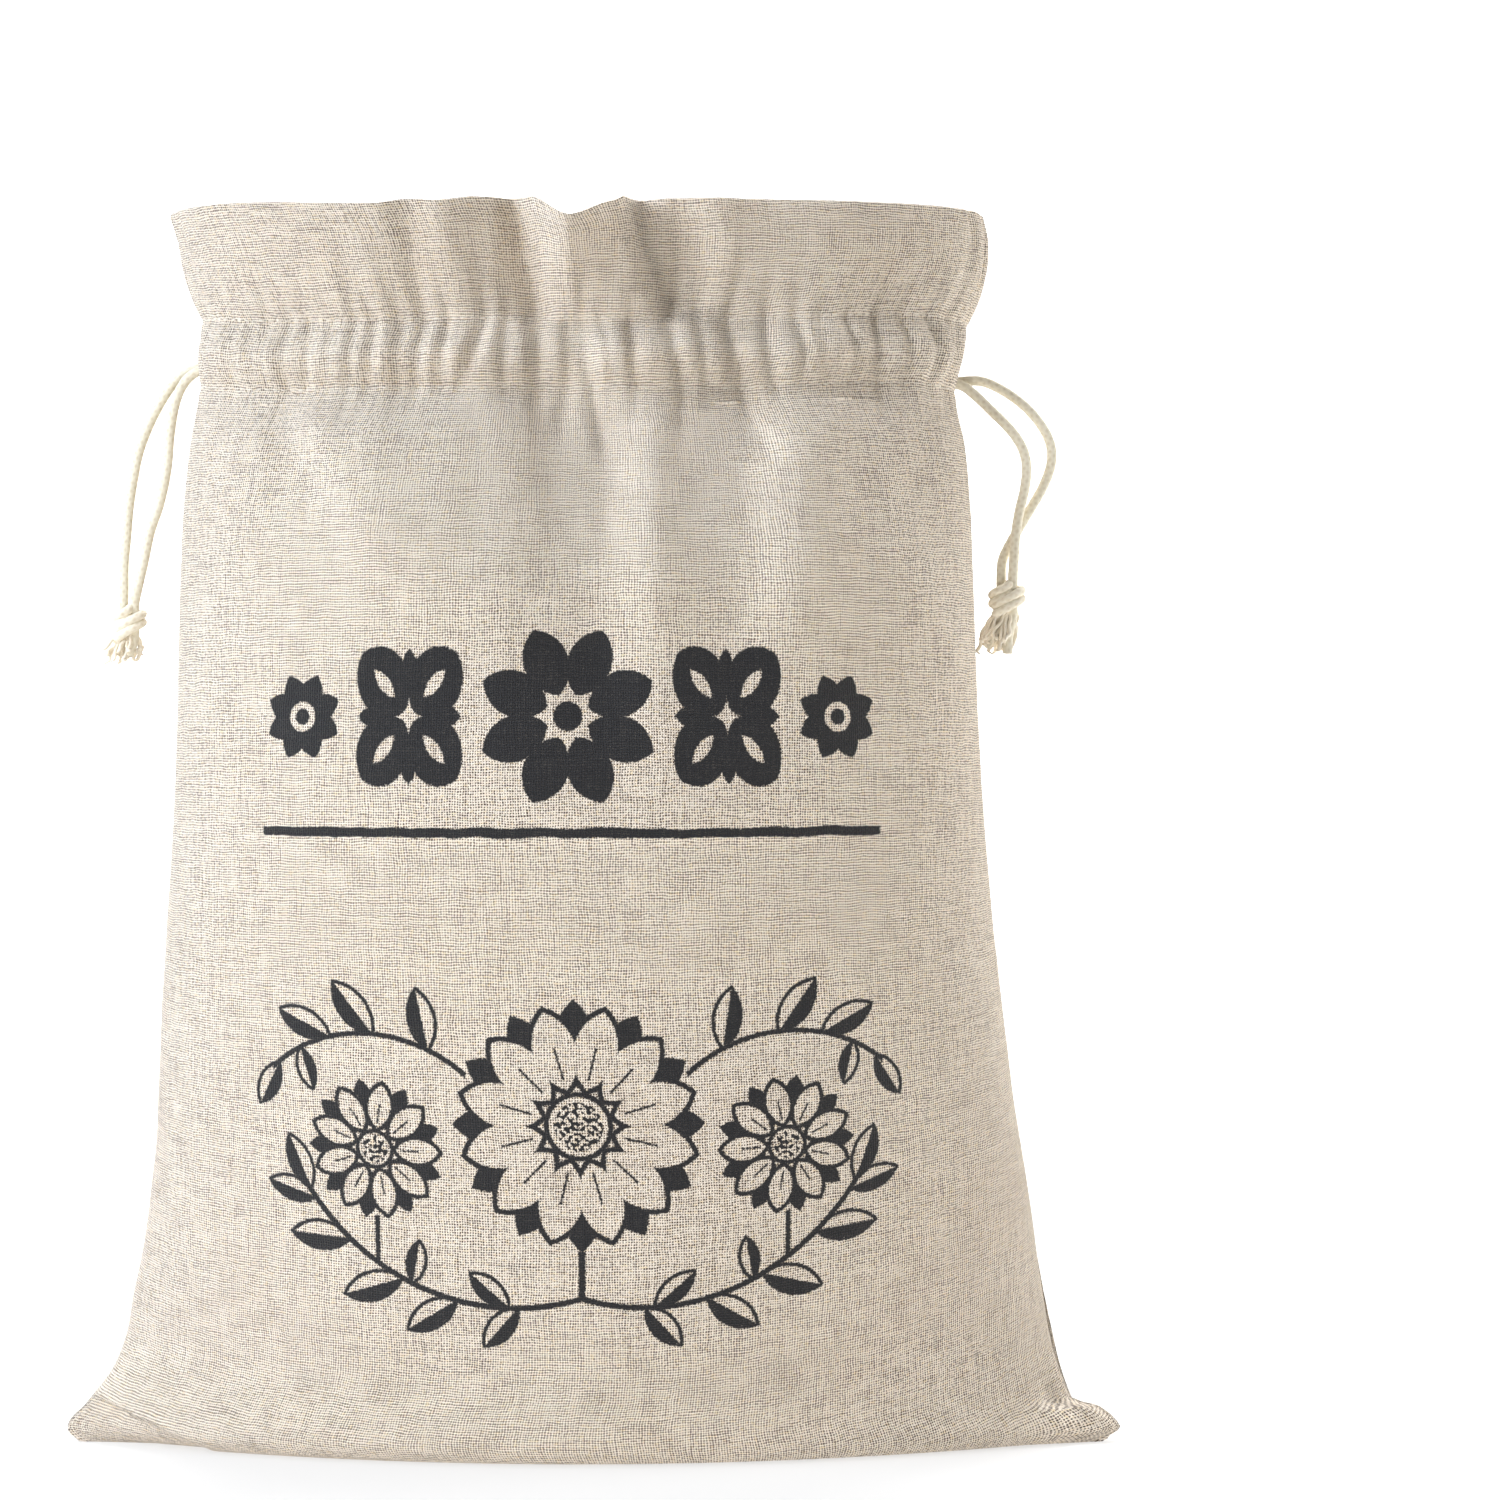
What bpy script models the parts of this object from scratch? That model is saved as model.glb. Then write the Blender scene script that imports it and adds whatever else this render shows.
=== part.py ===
"""Linen drawstring bag, standing open and full.

One length of cloth is folded at the bottom, sewn up both sides and hemmed at the top. Two rows of
stitches hold the hem and leave a channel between them. Two cords run round in the channel: each comes
out of its own side with both ends, which are tied in one knot.

Metres, +Z up, front towards -Y. The origin is on the ground, under the middle of the base.
"""

import functools
import math

import bmesh
import bpy
import numpy as np
from mathutils import Matrix, Vector

# The bag as it is cut and sewn.
FLAT_WIDTH = 0.300
CLOTH_THICKNESS = 0.0010
LOWER_STITCH = 0.292
UPPER_STITCH = 0.309
RIM_FLARE = 0.0105  # how far the rim stands out beyond the upper stitches
CHANNEL = (0.2957, 0.3005, 0.3053)  # heights inside the channel: its lower part, middle and upper part
RIM = 0.345
HEM_END = 0.2875

# How far the hem's inner face lies behind the cloth's outer face.
HEM_AT_STITCH = 0.0030
HEM_IN_HEADING = 0.0039
HEM_AT_END = 0.0034
HEM_IN_CHANNEL = 0.0072
HEM_AT_SLIT = 0.0032  # more than in the channel, where the cords turn out of it
SLIT_REACH = 0.020  # how far from the side seam the hem draws in

# The cords.
CORD_DIAMETER = 0.0028
CORD_DEPTH = 0.0036  # of the cord's middle, behind the cloth's outer face
LEFT_CORD_HEIGHT = 0.3028
RIGHT_CORD_HEIGHT = 0.2982
RUN_FROM_SEAM = 0.0250  # where the hidden run ends, short of the seam that it leaves by
CORD_GAP = 0.0011  # between the middles of two ends that meet on the curve
CORD_STEP = 2.6 * CORD_DIAMETER
TURN_OUT = (
    # from the seam, behind the cloth's outer face: how each end leaves its run for the slit
    (RUN_FROM_SEAM - CORD_GAP, CORD_DEPTH),
    (0.0180, CORD_DEPTH),
    (0.0110, 0.0056),
)

# The outline that the filled bag takes. Each half, from seam to seam, is x = -width cos t and
# y = depth sin(t)^roundness: 2 gives the lens of the base, 1 an ellipse, and less a squarer form.
SECTIONS = (
    # height, left, right, front, back, roundness
    (0.0000, 0.1480, 0.1480, 0.0460, 0.0460, 2.00),
    (0.0040, 0.1470, 0.1470, 0.0480, 0.0480, 1.95),
    (0.0110, 0.1400, 0.1420, 0.0500, 0.0500, 1.85),
    (0.0190, 0.1345, 0.1355, 0.0515, 0.0515, 1.70),
    (0.0450, 0.1268, 0.1290, 0.0580, 0.0580, 1.35),
    (0.0770, 0.1227, 0.1240, 0.0625, 0.0625, 1.15),
    (0.1100, 0.1204, 0.1190, 0.0660, 0.0660, 1.02),
    (0.1520, 0.1179, 0.1140, 0.0700, 0.0700, 0.96),
    (0.2050, 0.1157, 0.1110, 0.0720, 0.0720, 0.90),
    (0.2490, 0.1143, 0.1085, 0.0665, 0.0665, 0.86),
    (0.2800, 0.1120, 0.1068, 0.0530, 0.0530, 0.82),
    (0.2920, 0.1095, 0.1040, 0.0450, 0.0450, 0.80),
    (0.3005, 0.1100, 0.1055, 0.0465, 0.0465, 0.80),
    (0.3090, 0.1072, 0.1052, 0.0440, 0.0440, 0.80),
    (0.3250, 0.1105, 0.1085, 0.0485, 0.0485, 0.76),
    (0.3450, 0.1155, 0.1115, 0.0545, 0.0545, 0.70),
)

# Valleys that run down from the gathered neck. across is measured along the cloth, from the middle.
VALLEYS = (
    # half, across, half width, depth, height where it starts, height where it ends
    ("front", -0.092, 0.018, 0.0016, 0.225, 0.330),
    ("front", -0.051, 0.016, 0.0014, 0.240, 0.336),
    ("front", -0.008, 0.022, 0.0030, 0.195, 0.322),
    ("front", 0.054, 0.022, 0.0030, 0.205, 0.326),
    ("front", 0.100, 0.018, 0.0022, 0.180, 0.332),
    ("back", -0.090, 0.018, 0.0020, 0.200, 0.335),
    ("back", -0.042, 0.017, 0.0024, 0.225, 0.330),
    ("back", 0.012, 0.017, 0.0020, 0.240, 0.325),
    ("back", 0.064, 0.018, 0.0024, 0.210, 0.335),
)

# How far the rim stands out beyond its even flare, along each half. Between these places the cloth
# runs straight, as stiff cloth does, and the flutes die away down to the upper stitches.
RIM_FLUTES = {
    "front": (
        # across, stands out
        (-0.150, 0.0000),
        (-0.060, 0.0000),
        (-0.036, 0.0005),
        (-0.0190, -0.0028),
        (-0.001, 0.0050),
        (0.0155, -0.0036),
        (0.028, 0.0040),
        (0.041, 0.0005),
        (0.060, 0.0000),
        (0.150, 0.0000),
    ),
    "back": (
        (-0.150, 0.0000),
        (-0.078, 0.0000),
        (-0.060, -0.0028),
        (-0.040, 0.0040),
        (-0.020, 0.0000),
        (0.022, 0.0000),
        (0.040, -0.0034),
        (0.056, 0.0046),
        (0.076, 0.0005),
        (0.150, 0.0000),
    ),
}

# The lengths of cord outside the bag, from the slit down through the knot to the frayed end.
STRANDS = {
    "cord_left_front": (
        # x, y, z
        (-0.1032, -0.0032, 0.3028),
        (-0.1066, -0.0018, 0.3026),
        (-0.1110, -0.0019, 0.3008),
        (-0.1140, -0.0022, 0.2973),
        (-0.1160, -0.0024, 0.2920),
        (-0.1173, -0.0025, 0.2840),
        (-0.1183, -0.0025, 0.2735),
        (-0.1203, -0.0024, 0.2642),
        (-0.1230, -0.0021, 0.2562),
        (-0.1250, -0.0017, 0.2470),
        (-0.1266, -0.0013, 0.2405),
        (-0.1276, -0.0008, 0.2352),
        (-0.1276, -0.0008, 0.2268),
        (-0.1292, -0.0013, 0.2215),
    ),
    "cord_left_back": (
        (-0.1032, 0.0032, 0.3028),
        (-0.1066, 0.0018, 0.3029),
        (-0.1120, 0.0020, 0.3022),
        (-0.1175, 0.0024, 0.2978),
        (-0.1227, 0.0026, 0.2892),
        (-0.1264, 0.0027, 0.2802),
        (-0.1282, 0.0027, 0.2722),
        (-0.1295, 0.0025, 0.2635),
        (-0.1302, 0.0022, 0.2549),
        (-0.1308, 0.0017, 0.2475),
        (-0.1308, 0.0013, 0.2410),
        (-0.1308, 0.0008, 0.2352),
        (-0.1308, 0.0008, 0.2268),
        (-0.1335, 0.0015, 0.2225),
    ),
    "cord_right_front": (
        (0.0985, -0.0032, 0.2982),
        (0.1020, -0.0018, 0.2984),
        (0.1060, -0.0019, 0.2975),
        (0.1095, -0.0021, 0.2948),
        (0.1143, -0.0023, 0.2902),
        (0.1196, -0.0024, 0.2848),
        (0.1229, -0.0025, 0.2795),
        (0.1239, -0.0025, 0.2742),
        (0.1233, -0.0023, 0.2682),
        (0.1219, -0.0020, 0.2622),
        (0.1209, -0.0018, 0.2560),
        (0.1204, -0.0015, 0.2490),
        (0.1201, -0.0008, 0.2422),
        (0.1201, -0.0008, 0.2335),
        (0.1189, -0.0014, 0.2275),
        (0.1186, -0.0018, 0.2222),
    ),
    "cord_right_back": (
        (0.0985, 0.0032, 0.2982),
        (0.1020, 0.0018, 0.2985),
        (0.1070, 0.0019, 0.2992),
        (0.1120, 0.0022, 0.2990),
        (0.1176, 0.0025, 0.2965),
        (0.1236, 0.0026, 0.2922),
        (0.1283, 0.0027, 0.2868),
        (0.1309, 0.0027, 0.2815),
        (0.1312, 0.0026, 0.2762),
        (0.1292, 0.0023, 0.2702),
        (0.1258, 0.0019, 0.2640),
        (0.1222, 0.0017, 0.2580),
        (0.1188, 0.0015, 0.2520),
        (0.1172, 0.0012, 0.2480),
        (0.1169, 0.0008, 0.2422),
        (0.1169, 0.0008, 0.2335),
        (0.1152, 0.0016, 0.2280),
        (0.1126, 0.0019, 0.2240),
    ),
}

# The knots are short rings round their two cords.
KNOTS = {
    # x, z of the middle
    "knot_left": (-0.1292, 0.2310),
    "knot_right": (0.1185, 0.2378),
}
KNOT_HEIGHT = 0.0086
KNOT_HOLE = (0.0040, 0.0033)  # half width and half depth
KNOT_WALL = 0.0014

# Steps of the faceted surfaces.
PLAIN_STEP = 0.0110  # between columns of points, on a stretch of rim with no flute
FLUTE_STEP = 0.0080
PLAIN_STRETCH = 0.040  # a longer stretch of the rim than this has no flute
HEADING_ROWS = (0.3145, 0.324, 0.335, RIM - 0.0011)
OUTER_ROWS = (0.0, 0.004, 0.011, 0.019, 0.034, 0.056, 0.085, 0.120, 0.160, 0.205)
OUTER_ROWS += (0.238, 0.258, 0.273, 0.284, LOWER_STITCH, *CHANNEL, UPPER_STITCH, *HEADING_ROWS)
HEM_ROWS = (*reversed(HEADING_ROWS), UPPER_STITCH, *reversed(CHANNEL), LOWER_STITCH, HEM_END)
SLIT_HALF_WIDTHS = dict(zip(CHANNEL, (0.0043, 0.0054, 0.0043)))
KNOT_SIDES = 16
KNOT_RINGS = 8
NEARBY = 0.0015  # how far aside a surface is read for its direction
OUTLINE_STEPS = 361
ROUTE_STEPS = 24
RUN_PLACES = 90

CLOTH_COLOUR = (0.66, 0.58, 0.46, 1.0)
CORD_COLOUR = (0.80, 0.73, 0.58, 1.0)


def smooth_row(rows, height):
    """A table's row at a height, on a smooth curve through its rows."""
    table = np.array(rows)
    heights = table[:, 0]
    slopes = np.gradient(table, heights, axis=0)
    i = int(np.clip(np.searchsorted(heights, height) - 1, 0, len(heights) - 2))
    span = heights[i + 1] - heights[i]
    f = min(max((height - heights[i]) / span, 0.0), 1.0)
    start = (1 + 2 * f) * (1 - f) ** 2 * table[i] + f * (1 - f) ** 2 * span * slopes[i]
    end = f * f * (3 - 2 * f) * table[i + 1] - f * f * (1 - f) * span * slopes[i + 1]
    return start + end


@functools.lru_cache(maxsize=None)
def outline(half, height):
    """x and y of one half at a height, from the left seam to the right one, and the share of cloth."""
    _, left, right, front, back, roundness = smooth_row(SECTIONS, height)
    turn = np.linspace(0.0, math.pi, OUTLINE_STEPS)
    depth = -front if half == "front" else back
    x = (right - left) / 2 - (right + left) / 2 * np.cos(turn)
    y = depth * np.maximum(np.sin(turn), 0.0) ** roundness
    share = np.concatenate([[0.0], np.cumsum(np.hypot(np.diff(x), np.diff(y)))])
    return x, y, share / share[-1]


def place_on_half(way):
    """Which half a place round the bag is on, and how far across it from the middle."""
    way = way % (2 * FLAT_WIDTH)
    if way < FLAT_WIDTH:
        return "front", way - FLAT_WIDTH / 2
    return "back", 1.5 * FLAT_WIDTH - way


def valley_depth(half, across, height):
    """How deep the gathered valleys are at a place."""
    depth = 0.0
    for valley_half, middle, half_width, deepest, start, end in VALLEYS:
        aside = abs(across - middle) / half_width
        if valley_half == half and aside < 1 and start < height < end:
            rise = min((height - start) / (LOWER_STITCH - start), 1.0)
            fall = min((end - height) / (end - UPPER_STITCH), 1.0)
            depth += deepest * math.cos(aside * math.pi / 2) ** 2 * rise**1.5 * fall
    return depth


def flute_reach(half, across, height):
    """How far the heading stands out at a place, and how much lower that leaning leaves it."""
    if height <= UPPER_STITCH:
        return 0.0, 0.0
    places, reaches = zip(*RIM_FLUTES[half])
    share = (height - UPPER_STITCH) / (RIM - UPPER_STITCH)
    reach = share**0.9 * float(np.interp(across, places, reaches))
    flare = share * RIM_FLARE
    lowered = ((flare + reach) ** 2 - flare**2) / (2 * (RIM - UPPER_STITCH))
    return reach, max(0.0, lowered)


def skin(way, height):
    """A point of the cloth's outer face, so far round the bag from the left seam."""
    half, across = place_on_half(way)
    x, y, share = outline(half, height)
    here = across / FLAT_WIDTH + 0.5
    near = np.clip([here - 0.01, here + 0.01], 0.0, 1.0)
    along = np.array([np.diff(np.interp(near, share, x))[0], np.diff(np.interp(near, share, y))[0]])
    if here < 0.01 or here > 0.99:
        along = np.array([0.0, -1.0 if (half == "front") == (here < 0.5) else 1.0])
    along /= np.hypot(*along)
    inward = np.array([-along[1], along[0]]) * (1 if half == "front" else -1)
    reach, lowered = flute_reach(half, across, height)
    push = valley_depth(half, across, height) - reach
    return Vector(
        (
            float(np.interp(here, share, x)) + inward[0] * push,
            float(np.interp(here, share, y)) + inward[1] * push,
            height - lowered,
        )
    )


def behind(way, height, depth):
    """A point so far behind the cloth's outer face, level with it."""
    across = skin(way + NEARBY, height) - skin(way - NEARBY, height)
    return skin(way, height) + Vector((-across.y, across.x, 0.0)).normalized() * depth


def from_seam(way):
    """How far a place round the bag is from the nearer side seam."""
    return min(way % FLAT_WIDTH, FLAT_WIDTH - way % FLAT_WIDTH)


def hem_depth(way, height):
    """How far behind the outer face the hem's own face is."""
    heights = (HEM_END, LOWER_STITCH, CHANNEL[0], CHANNEL[2], UPPER_STITCH, HEADING_ROWS[0], RIM)
    near_slit = max(0.0, 1.0 - (from_seam(way) / SLIT_REACH) ** 2)
    channel = HEM_IN_CHANNEL + HEM_AT_SLIT * near_slit
    depths = (HEM_AT_END, HEM_AT_STITCH, channel, channel, HEM_AT_STITCH, HEM_IN_HEADING, HEM_IN_HEADING)
    return float(np.interp(height, heights, depths))


def column_places():
    """Places round the bag: one on each seam and each fold of the rim, and more between."""
    front = [place + FLAT_WIDTH / 2 for place, _ in RIM_FLUTES["front"]]
    back = [1.5 * FLAT_WIDTH - place for place, _ in reversed(RIM_FLUTES["back"])]
    places = []
    for creases in (front, back):
        for start, end in zip(creases, creases[1:]):
            step = PLAIN_STEP if end - start > PLAIN_STRETCH else FLUTE_STEP
            count = math.ceil((end - start) / step)
            places += [start + (end - start) * i / count for i in range(count)]
    return places


def column_points(way, slit_side):
    """One column of the cloth: up its outer face, over the rim and down the hem.

    slit_side is 1 or -1 on the two edges of the slit in a side seam, and 0 elsewhere.
    """
    points = []
    for height in OUTER_ROWS:
        points.append(skin(way + slit_side * SLIT_HALF_WIDTHS.get(height, 0.0), height))
    points.append(behind(way, RIM, HEM_IN_HEADING / 2))
    for height in HEM_ROWS:
        points.append(behind(way, height, hem_depth(way, height)))
    return points


def link(obj, colour):
    """Gives an object its own material and puts it in the scene."""
    material = bpy.data.materials.new(f"{obj.name}_finish")
    material.use_nodes = True
    shader = material.node_tree.nodes["Principled BSDF"]
    shader.inputs["Base Color"].default_value = colour
    shader.inputs["Roughness"].default_value = 0.95
    shader.inputs["Metallic"].default_value = 0.0
    obj.data.materials.append(material)
    bpy.context.scene.collection.objects.link(obj)


def make_cloth():
    """The cloth as one sheet, closed round the bag and across its base, then given its thickness."""
    places = column_places()
    seams = [number for number, way in enumerate(places) if from_seam(way) < NEARBY]
    bm = bmesh.new()
    after, before = [], []  # each column's points, as the strips on its two sides meet it
    for number, way in enumerate(places):
        if number in seams:
            column = [bm.verts.new(p) for p in column_points(way, 1)]
            other = list(column)
            for row, point in enumerate(column_points(way, -1)):
                if row < len(OUTER_ROWS) and OUTER_ROWS[row] in SLIT_HALF_WIDTHS:
                    other[row] = bm.verts.new(point)
        else:
            column = other = [bm.verts.new(p) for p in column_points(way, 0)]
        after.append(column)
        before.append(other)
    for number in range(len(places)):
        left, right = after[number], before[(number + 1) % len(places)]
        for row in range(len(left) - 1):
            bm.faces.new((left[row], right[row], right[row + 1], left[row + 1]))
    bm.faces.new([column[0] for column in reversed(after)])
    mesh = bpy.data.meshes.new("bag_cloth")
    bm.to_mesh(mesh)
    bm.free()
    mesh.shade_smooth()
    obj = bpy.data.objects.new("bag_cloth", mesh)
    thickness = obj.modifiers.new("thickness", "SOLIDIFY")
    thickness.thickness = CLOTH_THICKNESS
    thickness.offset = -1.0
    thickness.use_even_offset = True
    thickness.use_quality_normals = True
    link(obj, CLOTH_COLOUR)


def even_points(route, step):
    """Points at even steps on a smooth curve through a route."""
    route = np.array([tuple(p) for p in route])
    ends = np.vstack([2 * route[0] - route[1], route, 2 * route[-1] - route[-2]])
    fine = []
    for a, b, c, d in zip(ends, ends[1:], ends[2:], ends[3:]):
        for f in np.linspace(0.0, 1.0, ROUTE_STEPS, endpoint=False):
            turn = (2 * a - 5 * b + 4 * c - d) * f**2 + (3 * b - a - 3 * c + d) * f**3
            fine.append(0.5 * (2 * b + (c - a) * f + turn))
    fine = np.array(fine + [route[-1]])
    far = np.concatenate([[0.0], np.cumsum(np.linalg.norm(np.diff(fine, axis=0), axis=1))])
    at = np.linspace(0.0, far[-1], max(2, round(far[-1] / step) + 1))
    return np.stack([np.interp(at, far, fine[:, axis]) for axis in range(3)], axis=1)


def make_cord(name, route):
    """A round cord along a route."""
    curve = bpy.data.curves.new(name, "CURVE")
    curve.dimensions = "3D"
    curve.bevel_depth = CORD_DIAMETER / 2
    curve.bevel_resolution = 2
    curve.use_fill_caps = True
    points = even_points(route, CORD_STEP)
    spline = curve.splines.new("POLY")
    spline.points.add(len(points) - 1)
    for place, point in zip(spline.points, points):
        place.co = (*point, 1.0)
    link(bpy.data.objects.new(name, curve), CORD_COLOUR)


def run_route(seam, height):
    """The hidden run: from one side of a seam, right round the neck, to the seam's other side."""
    start, end = seam + RUN_FROM_SEAM, seam + 2 * FLAT_WIDTH - RUN_FROM_SEAM
    places = np.linspace(start, end, RUN_PLACES)
    return [behind(way, height, CORD_DEPTH) for way in places]


def strand_route(seam, side, height, outside):
    """A cord from the end of its hidden run, through the slit, along its points outside."""
    inside = [behind(seam + side * far, height, depth) for far, depth in TURN_OUT]
    return inside + [Vector(point) for point in outside]


def make_knot(name, x, z):
    """The knot: a rounded ring round both cords."""
    bm = bmesh.new()
    profile = []
    for i in range(KNOT_RINGS):
        turn = 2 * math.pi * i / KNOT_RINGS
        across = KNOT_HOLE[0] + KNOT_WALL / 2 * (1 - math.cos(turn))
        profile.append(bm.verts.new((across, 0.0, KNOT_HEIGHT / 2 * math.sin(turn))))
    edges = [bm.edges.new((profile[i - 1], profile[i])) for i in range(KNOT_RINGS)]
    bmesh.ops.spin(
        bm,
        geom=profile + edges,
        axis=(0.0, 0.0, 1.0),
        cent=(0.0, 0.0, 0.0),
        angle=2 * math.pi,
        steps=KNOT_SIDES,
        use_merge=True,
    )
    bmesh.ops.remove_doubles(bm, verts=bm.verts, dist=0.000001)
    bmesh.ops.scale(bm, vec=(1.0, KNOT_HOLE[1] / KNOT_HOLE[0], 1.0), verts=bm.verts)
    bmesh.ops.transform(bm, matrix=Matrix.Translation((x, 0.0, z)), verts=bm.verts)
    bmesh.ops.recalc_face_normals(bm, faces=bm.faces)
    mesh = bpy.data.meshes.new(name)
    bm.to_mesh(mesh)
    bm.free()
    mesh.shade_smooth()
    link(bpy.data.objects.new(name, mesh), CORD_COLOUR)


def make_bag():
    for obj in list(bpy.data.objects):
        bpy.data.objects.remove(obj, do_unlink=True)
    make_cloth()
    for side, seam, height in (("left", 0.0, LEFT_CORD_HEIGHT), ("right", FLAT_WIDTH, RIGHT_CORD_HEIGHT)):
        front, back = (1, -1) if side == "left" else (-1, 1)
        make_cord(f"cord_{side}_run", run_route(seam, height))
        for half, way in (("front", front), ("back", back)):
            name = f"cord_{side}_{half}"
            make_cord(name, strand_route(seam, way, height, STRANDS[name]))
    for name, (x, z) in KNOTS.items():
        make_knot(name, x, z)


make_bag()
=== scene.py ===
"""A linen drawstring bag, standing open and full: its looks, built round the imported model.

Metres, +Z up, front towards -Y. The origin is on the ground, under the middle of the base.
"""

import math
import random

import bmesh
import bpy
import numpy as np
from mathutils import Matrix, Vector, noise


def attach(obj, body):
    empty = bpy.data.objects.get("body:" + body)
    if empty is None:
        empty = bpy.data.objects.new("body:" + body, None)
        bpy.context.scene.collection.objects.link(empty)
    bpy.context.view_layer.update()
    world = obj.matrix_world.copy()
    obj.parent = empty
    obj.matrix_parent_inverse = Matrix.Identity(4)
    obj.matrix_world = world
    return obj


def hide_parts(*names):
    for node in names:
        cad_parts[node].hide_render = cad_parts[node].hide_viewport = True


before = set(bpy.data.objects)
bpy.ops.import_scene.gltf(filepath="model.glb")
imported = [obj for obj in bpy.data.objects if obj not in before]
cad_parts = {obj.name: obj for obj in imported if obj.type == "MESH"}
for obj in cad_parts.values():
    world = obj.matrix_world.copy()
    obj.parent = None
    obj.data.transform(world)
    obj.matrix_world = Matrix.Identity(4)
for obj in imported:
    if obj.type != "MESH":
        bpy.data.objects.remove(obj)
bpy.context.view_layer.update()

# ---- Camera ----
# The photograph is taken from straight in front with a long lens, level with the bag's shoulder.

PHOTO_SIDE = 1500
FOCAL_LENGTH_IN_PIXELS = 4608
CAMERA_PLACE = (0.046, -1.300, 0.195)
SENSOR_WIDTH = 36.0

camera_data = bpy.data.cameras.new("camera")
camera_data.sensor_width = SENSOR_WIDTH
camera_data.lens = SENSOR_WIDTH * FOCAL_LENGTH_IN_PIXELS / PHOTO_SIDE
camera = bpy.data.objects.new("camera", camera_data)
camera.location = CAMERA_PLACE
camera.rotation_euler = (math.radians(90), 0, 0)
bpy.context.scene.collection.objects.link(camera)
bpy.context.scene.camera = camera

# ---- Drawstrings ----
# Two soft cotton cords, 2.8 mm thick, closely braided and left undyed. Each runs round the neck in the
# channel and hangs out of its own slit with both ends, which are tied together a hand's breadth down.

MM = 0.001
CORD_DIAMETER = 0.0028
CORD_STEP = 0.0012
ROUTE_STEPS = 24
PLIES = 4
PLY_TURNS_PER_MM = 0.42
FUZZ_SCALE = 900.0
CORD_CREAM = (0.790, 0.735, 0.590, 1.0)
CORD_SHADE = (0.600, 0.515, 0.360, 1.0)
CORD_ROUTES = {
    # from inside the slit, down to the frayed end; the cord leaves the bag at the exit point
    "cord_left_front": (
        (-0.1006, -0.0167, 0.3028), (-0.1018, -0.0133, 0.3028), (-0.1032, -0.0032, 0.3028),
        (-0.1066, -0.0018, 0.3026), (-0.1110, -0.0019, 0.3008), (-0.1140, -0.0022, 0.2973),
        (-0.1160, -0.0024, 0.2920), (-0.1173, -0.0025, 0.2840), (-0.1183, -0.0025, 0.2735),
        (-0.1203, -0.0024, 0.2642), (-0.1230, -0.0021, 0.2562), (-0.1250, -0.0017, 0.2470),
        (-0.1266, -0.0013, 0.2405), (-0.1276, -0.0008, 0.2352), (-0.1276, -0.0008, 0.2268),
        (-0.1292, -0.0013, 0.2215),
    ),
    "cord_left_back": (
        (-0.1006, 0.0167, 0.3028), (-0.1018, 0.0133, 0.3028), (-0.1032, 0.0032, 0.3028),
        (-0.1066, 0.0018, 0.3029), (-0.1120, 0.0020, 0.3022), (-0.1175, 0.0024, 0.2978),
        (-0.1227, 0.0026, 0.2892), (-0.1264, 0.0027, 0.2802), (-0.1282, 0.0027, 0.2722),
        (-0.1295, 0.0025, 0.2635), (-0.1302, 0.0022, 0.2549), (-0.1308, 0.0017, 0.2475),
        (-0.1308, 0.0013, 0.2410), (-0.1308, 0.0008, 0.2352), (-0.1308, 0.0008, 0.2268),
        (-0.1335, 0.0015, 0.2225),
    ),
    "cord_right_front": (
        (0.0960, -0.0167, 0.2982), (0.0972, -0.0133, 0.2982), (0.0985, -0.0032, 0.2982),
        (0.1020, -0.0018, 0.2984), (0.1060, -0.0019, 0.2975), (0.1095, -0.0021, 0.2948),
        (0.1143, -0.0023, 0.2902), (0.1196, -0.0024, 0.2848), (0.1229, -0.0025, 0.2795),
        (0.1239, -0.0025, 0.2742), (0.1233, -0.0023, 0.2682), (0.1219, -0.0020, 0.2622),
        (0.1209, -0.0018, 0.2560), (0.1204, -0.0015, 0.2490), (0.1201, -0.0008, 0.2422),
        (0.1201, -0.0008, 0.2335), (0.1189, -0.0014, 0.2275), (0.1186, -0.0018, 0.2222),
    ),
    "cord_right_back": (
        (0.0960, 0.0167, 0.2982), (0.0972, 0.0133, 0.2982), (0.0985, 0.0032, 0.2982),
        (0.1020, 0.0018, 0.2985), (0.1070, 0.0019, 0.2992), (0.1120, 0.0022, 0.2990),
        (0.1176, 0.0025, 0.2965), (0.1236, 0.0026, 0.2922), (0.1283, 0.0027, 0.2868),
        (0.1309, 0.0027, 0.2815), (0.1312, 0.0026, 0.2762), (0.1292, 0.0023, 0.2702),
        (0.1258, 0.0019, 0.2640), (0.1222, 0.0017, 0.2580), (0.1188, 0.0015, 0.2520),
        (0.1172, 0.0012, 0.2480), (0.1169, 0.0008, 0.2422), (0.1169, 0.0008, 0.2335),
        (0.1152, 0.0016, 0.2280), (0.1126, 0.0019, 0.2240),
    ),
}
CORD_LENGTHS = {
    "cord_left_front": 0.104,
    "cord_left_back": 0.109,
    "cord_right_front": 0.104,
    "cord_right_back": 0.116,
}


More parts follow.
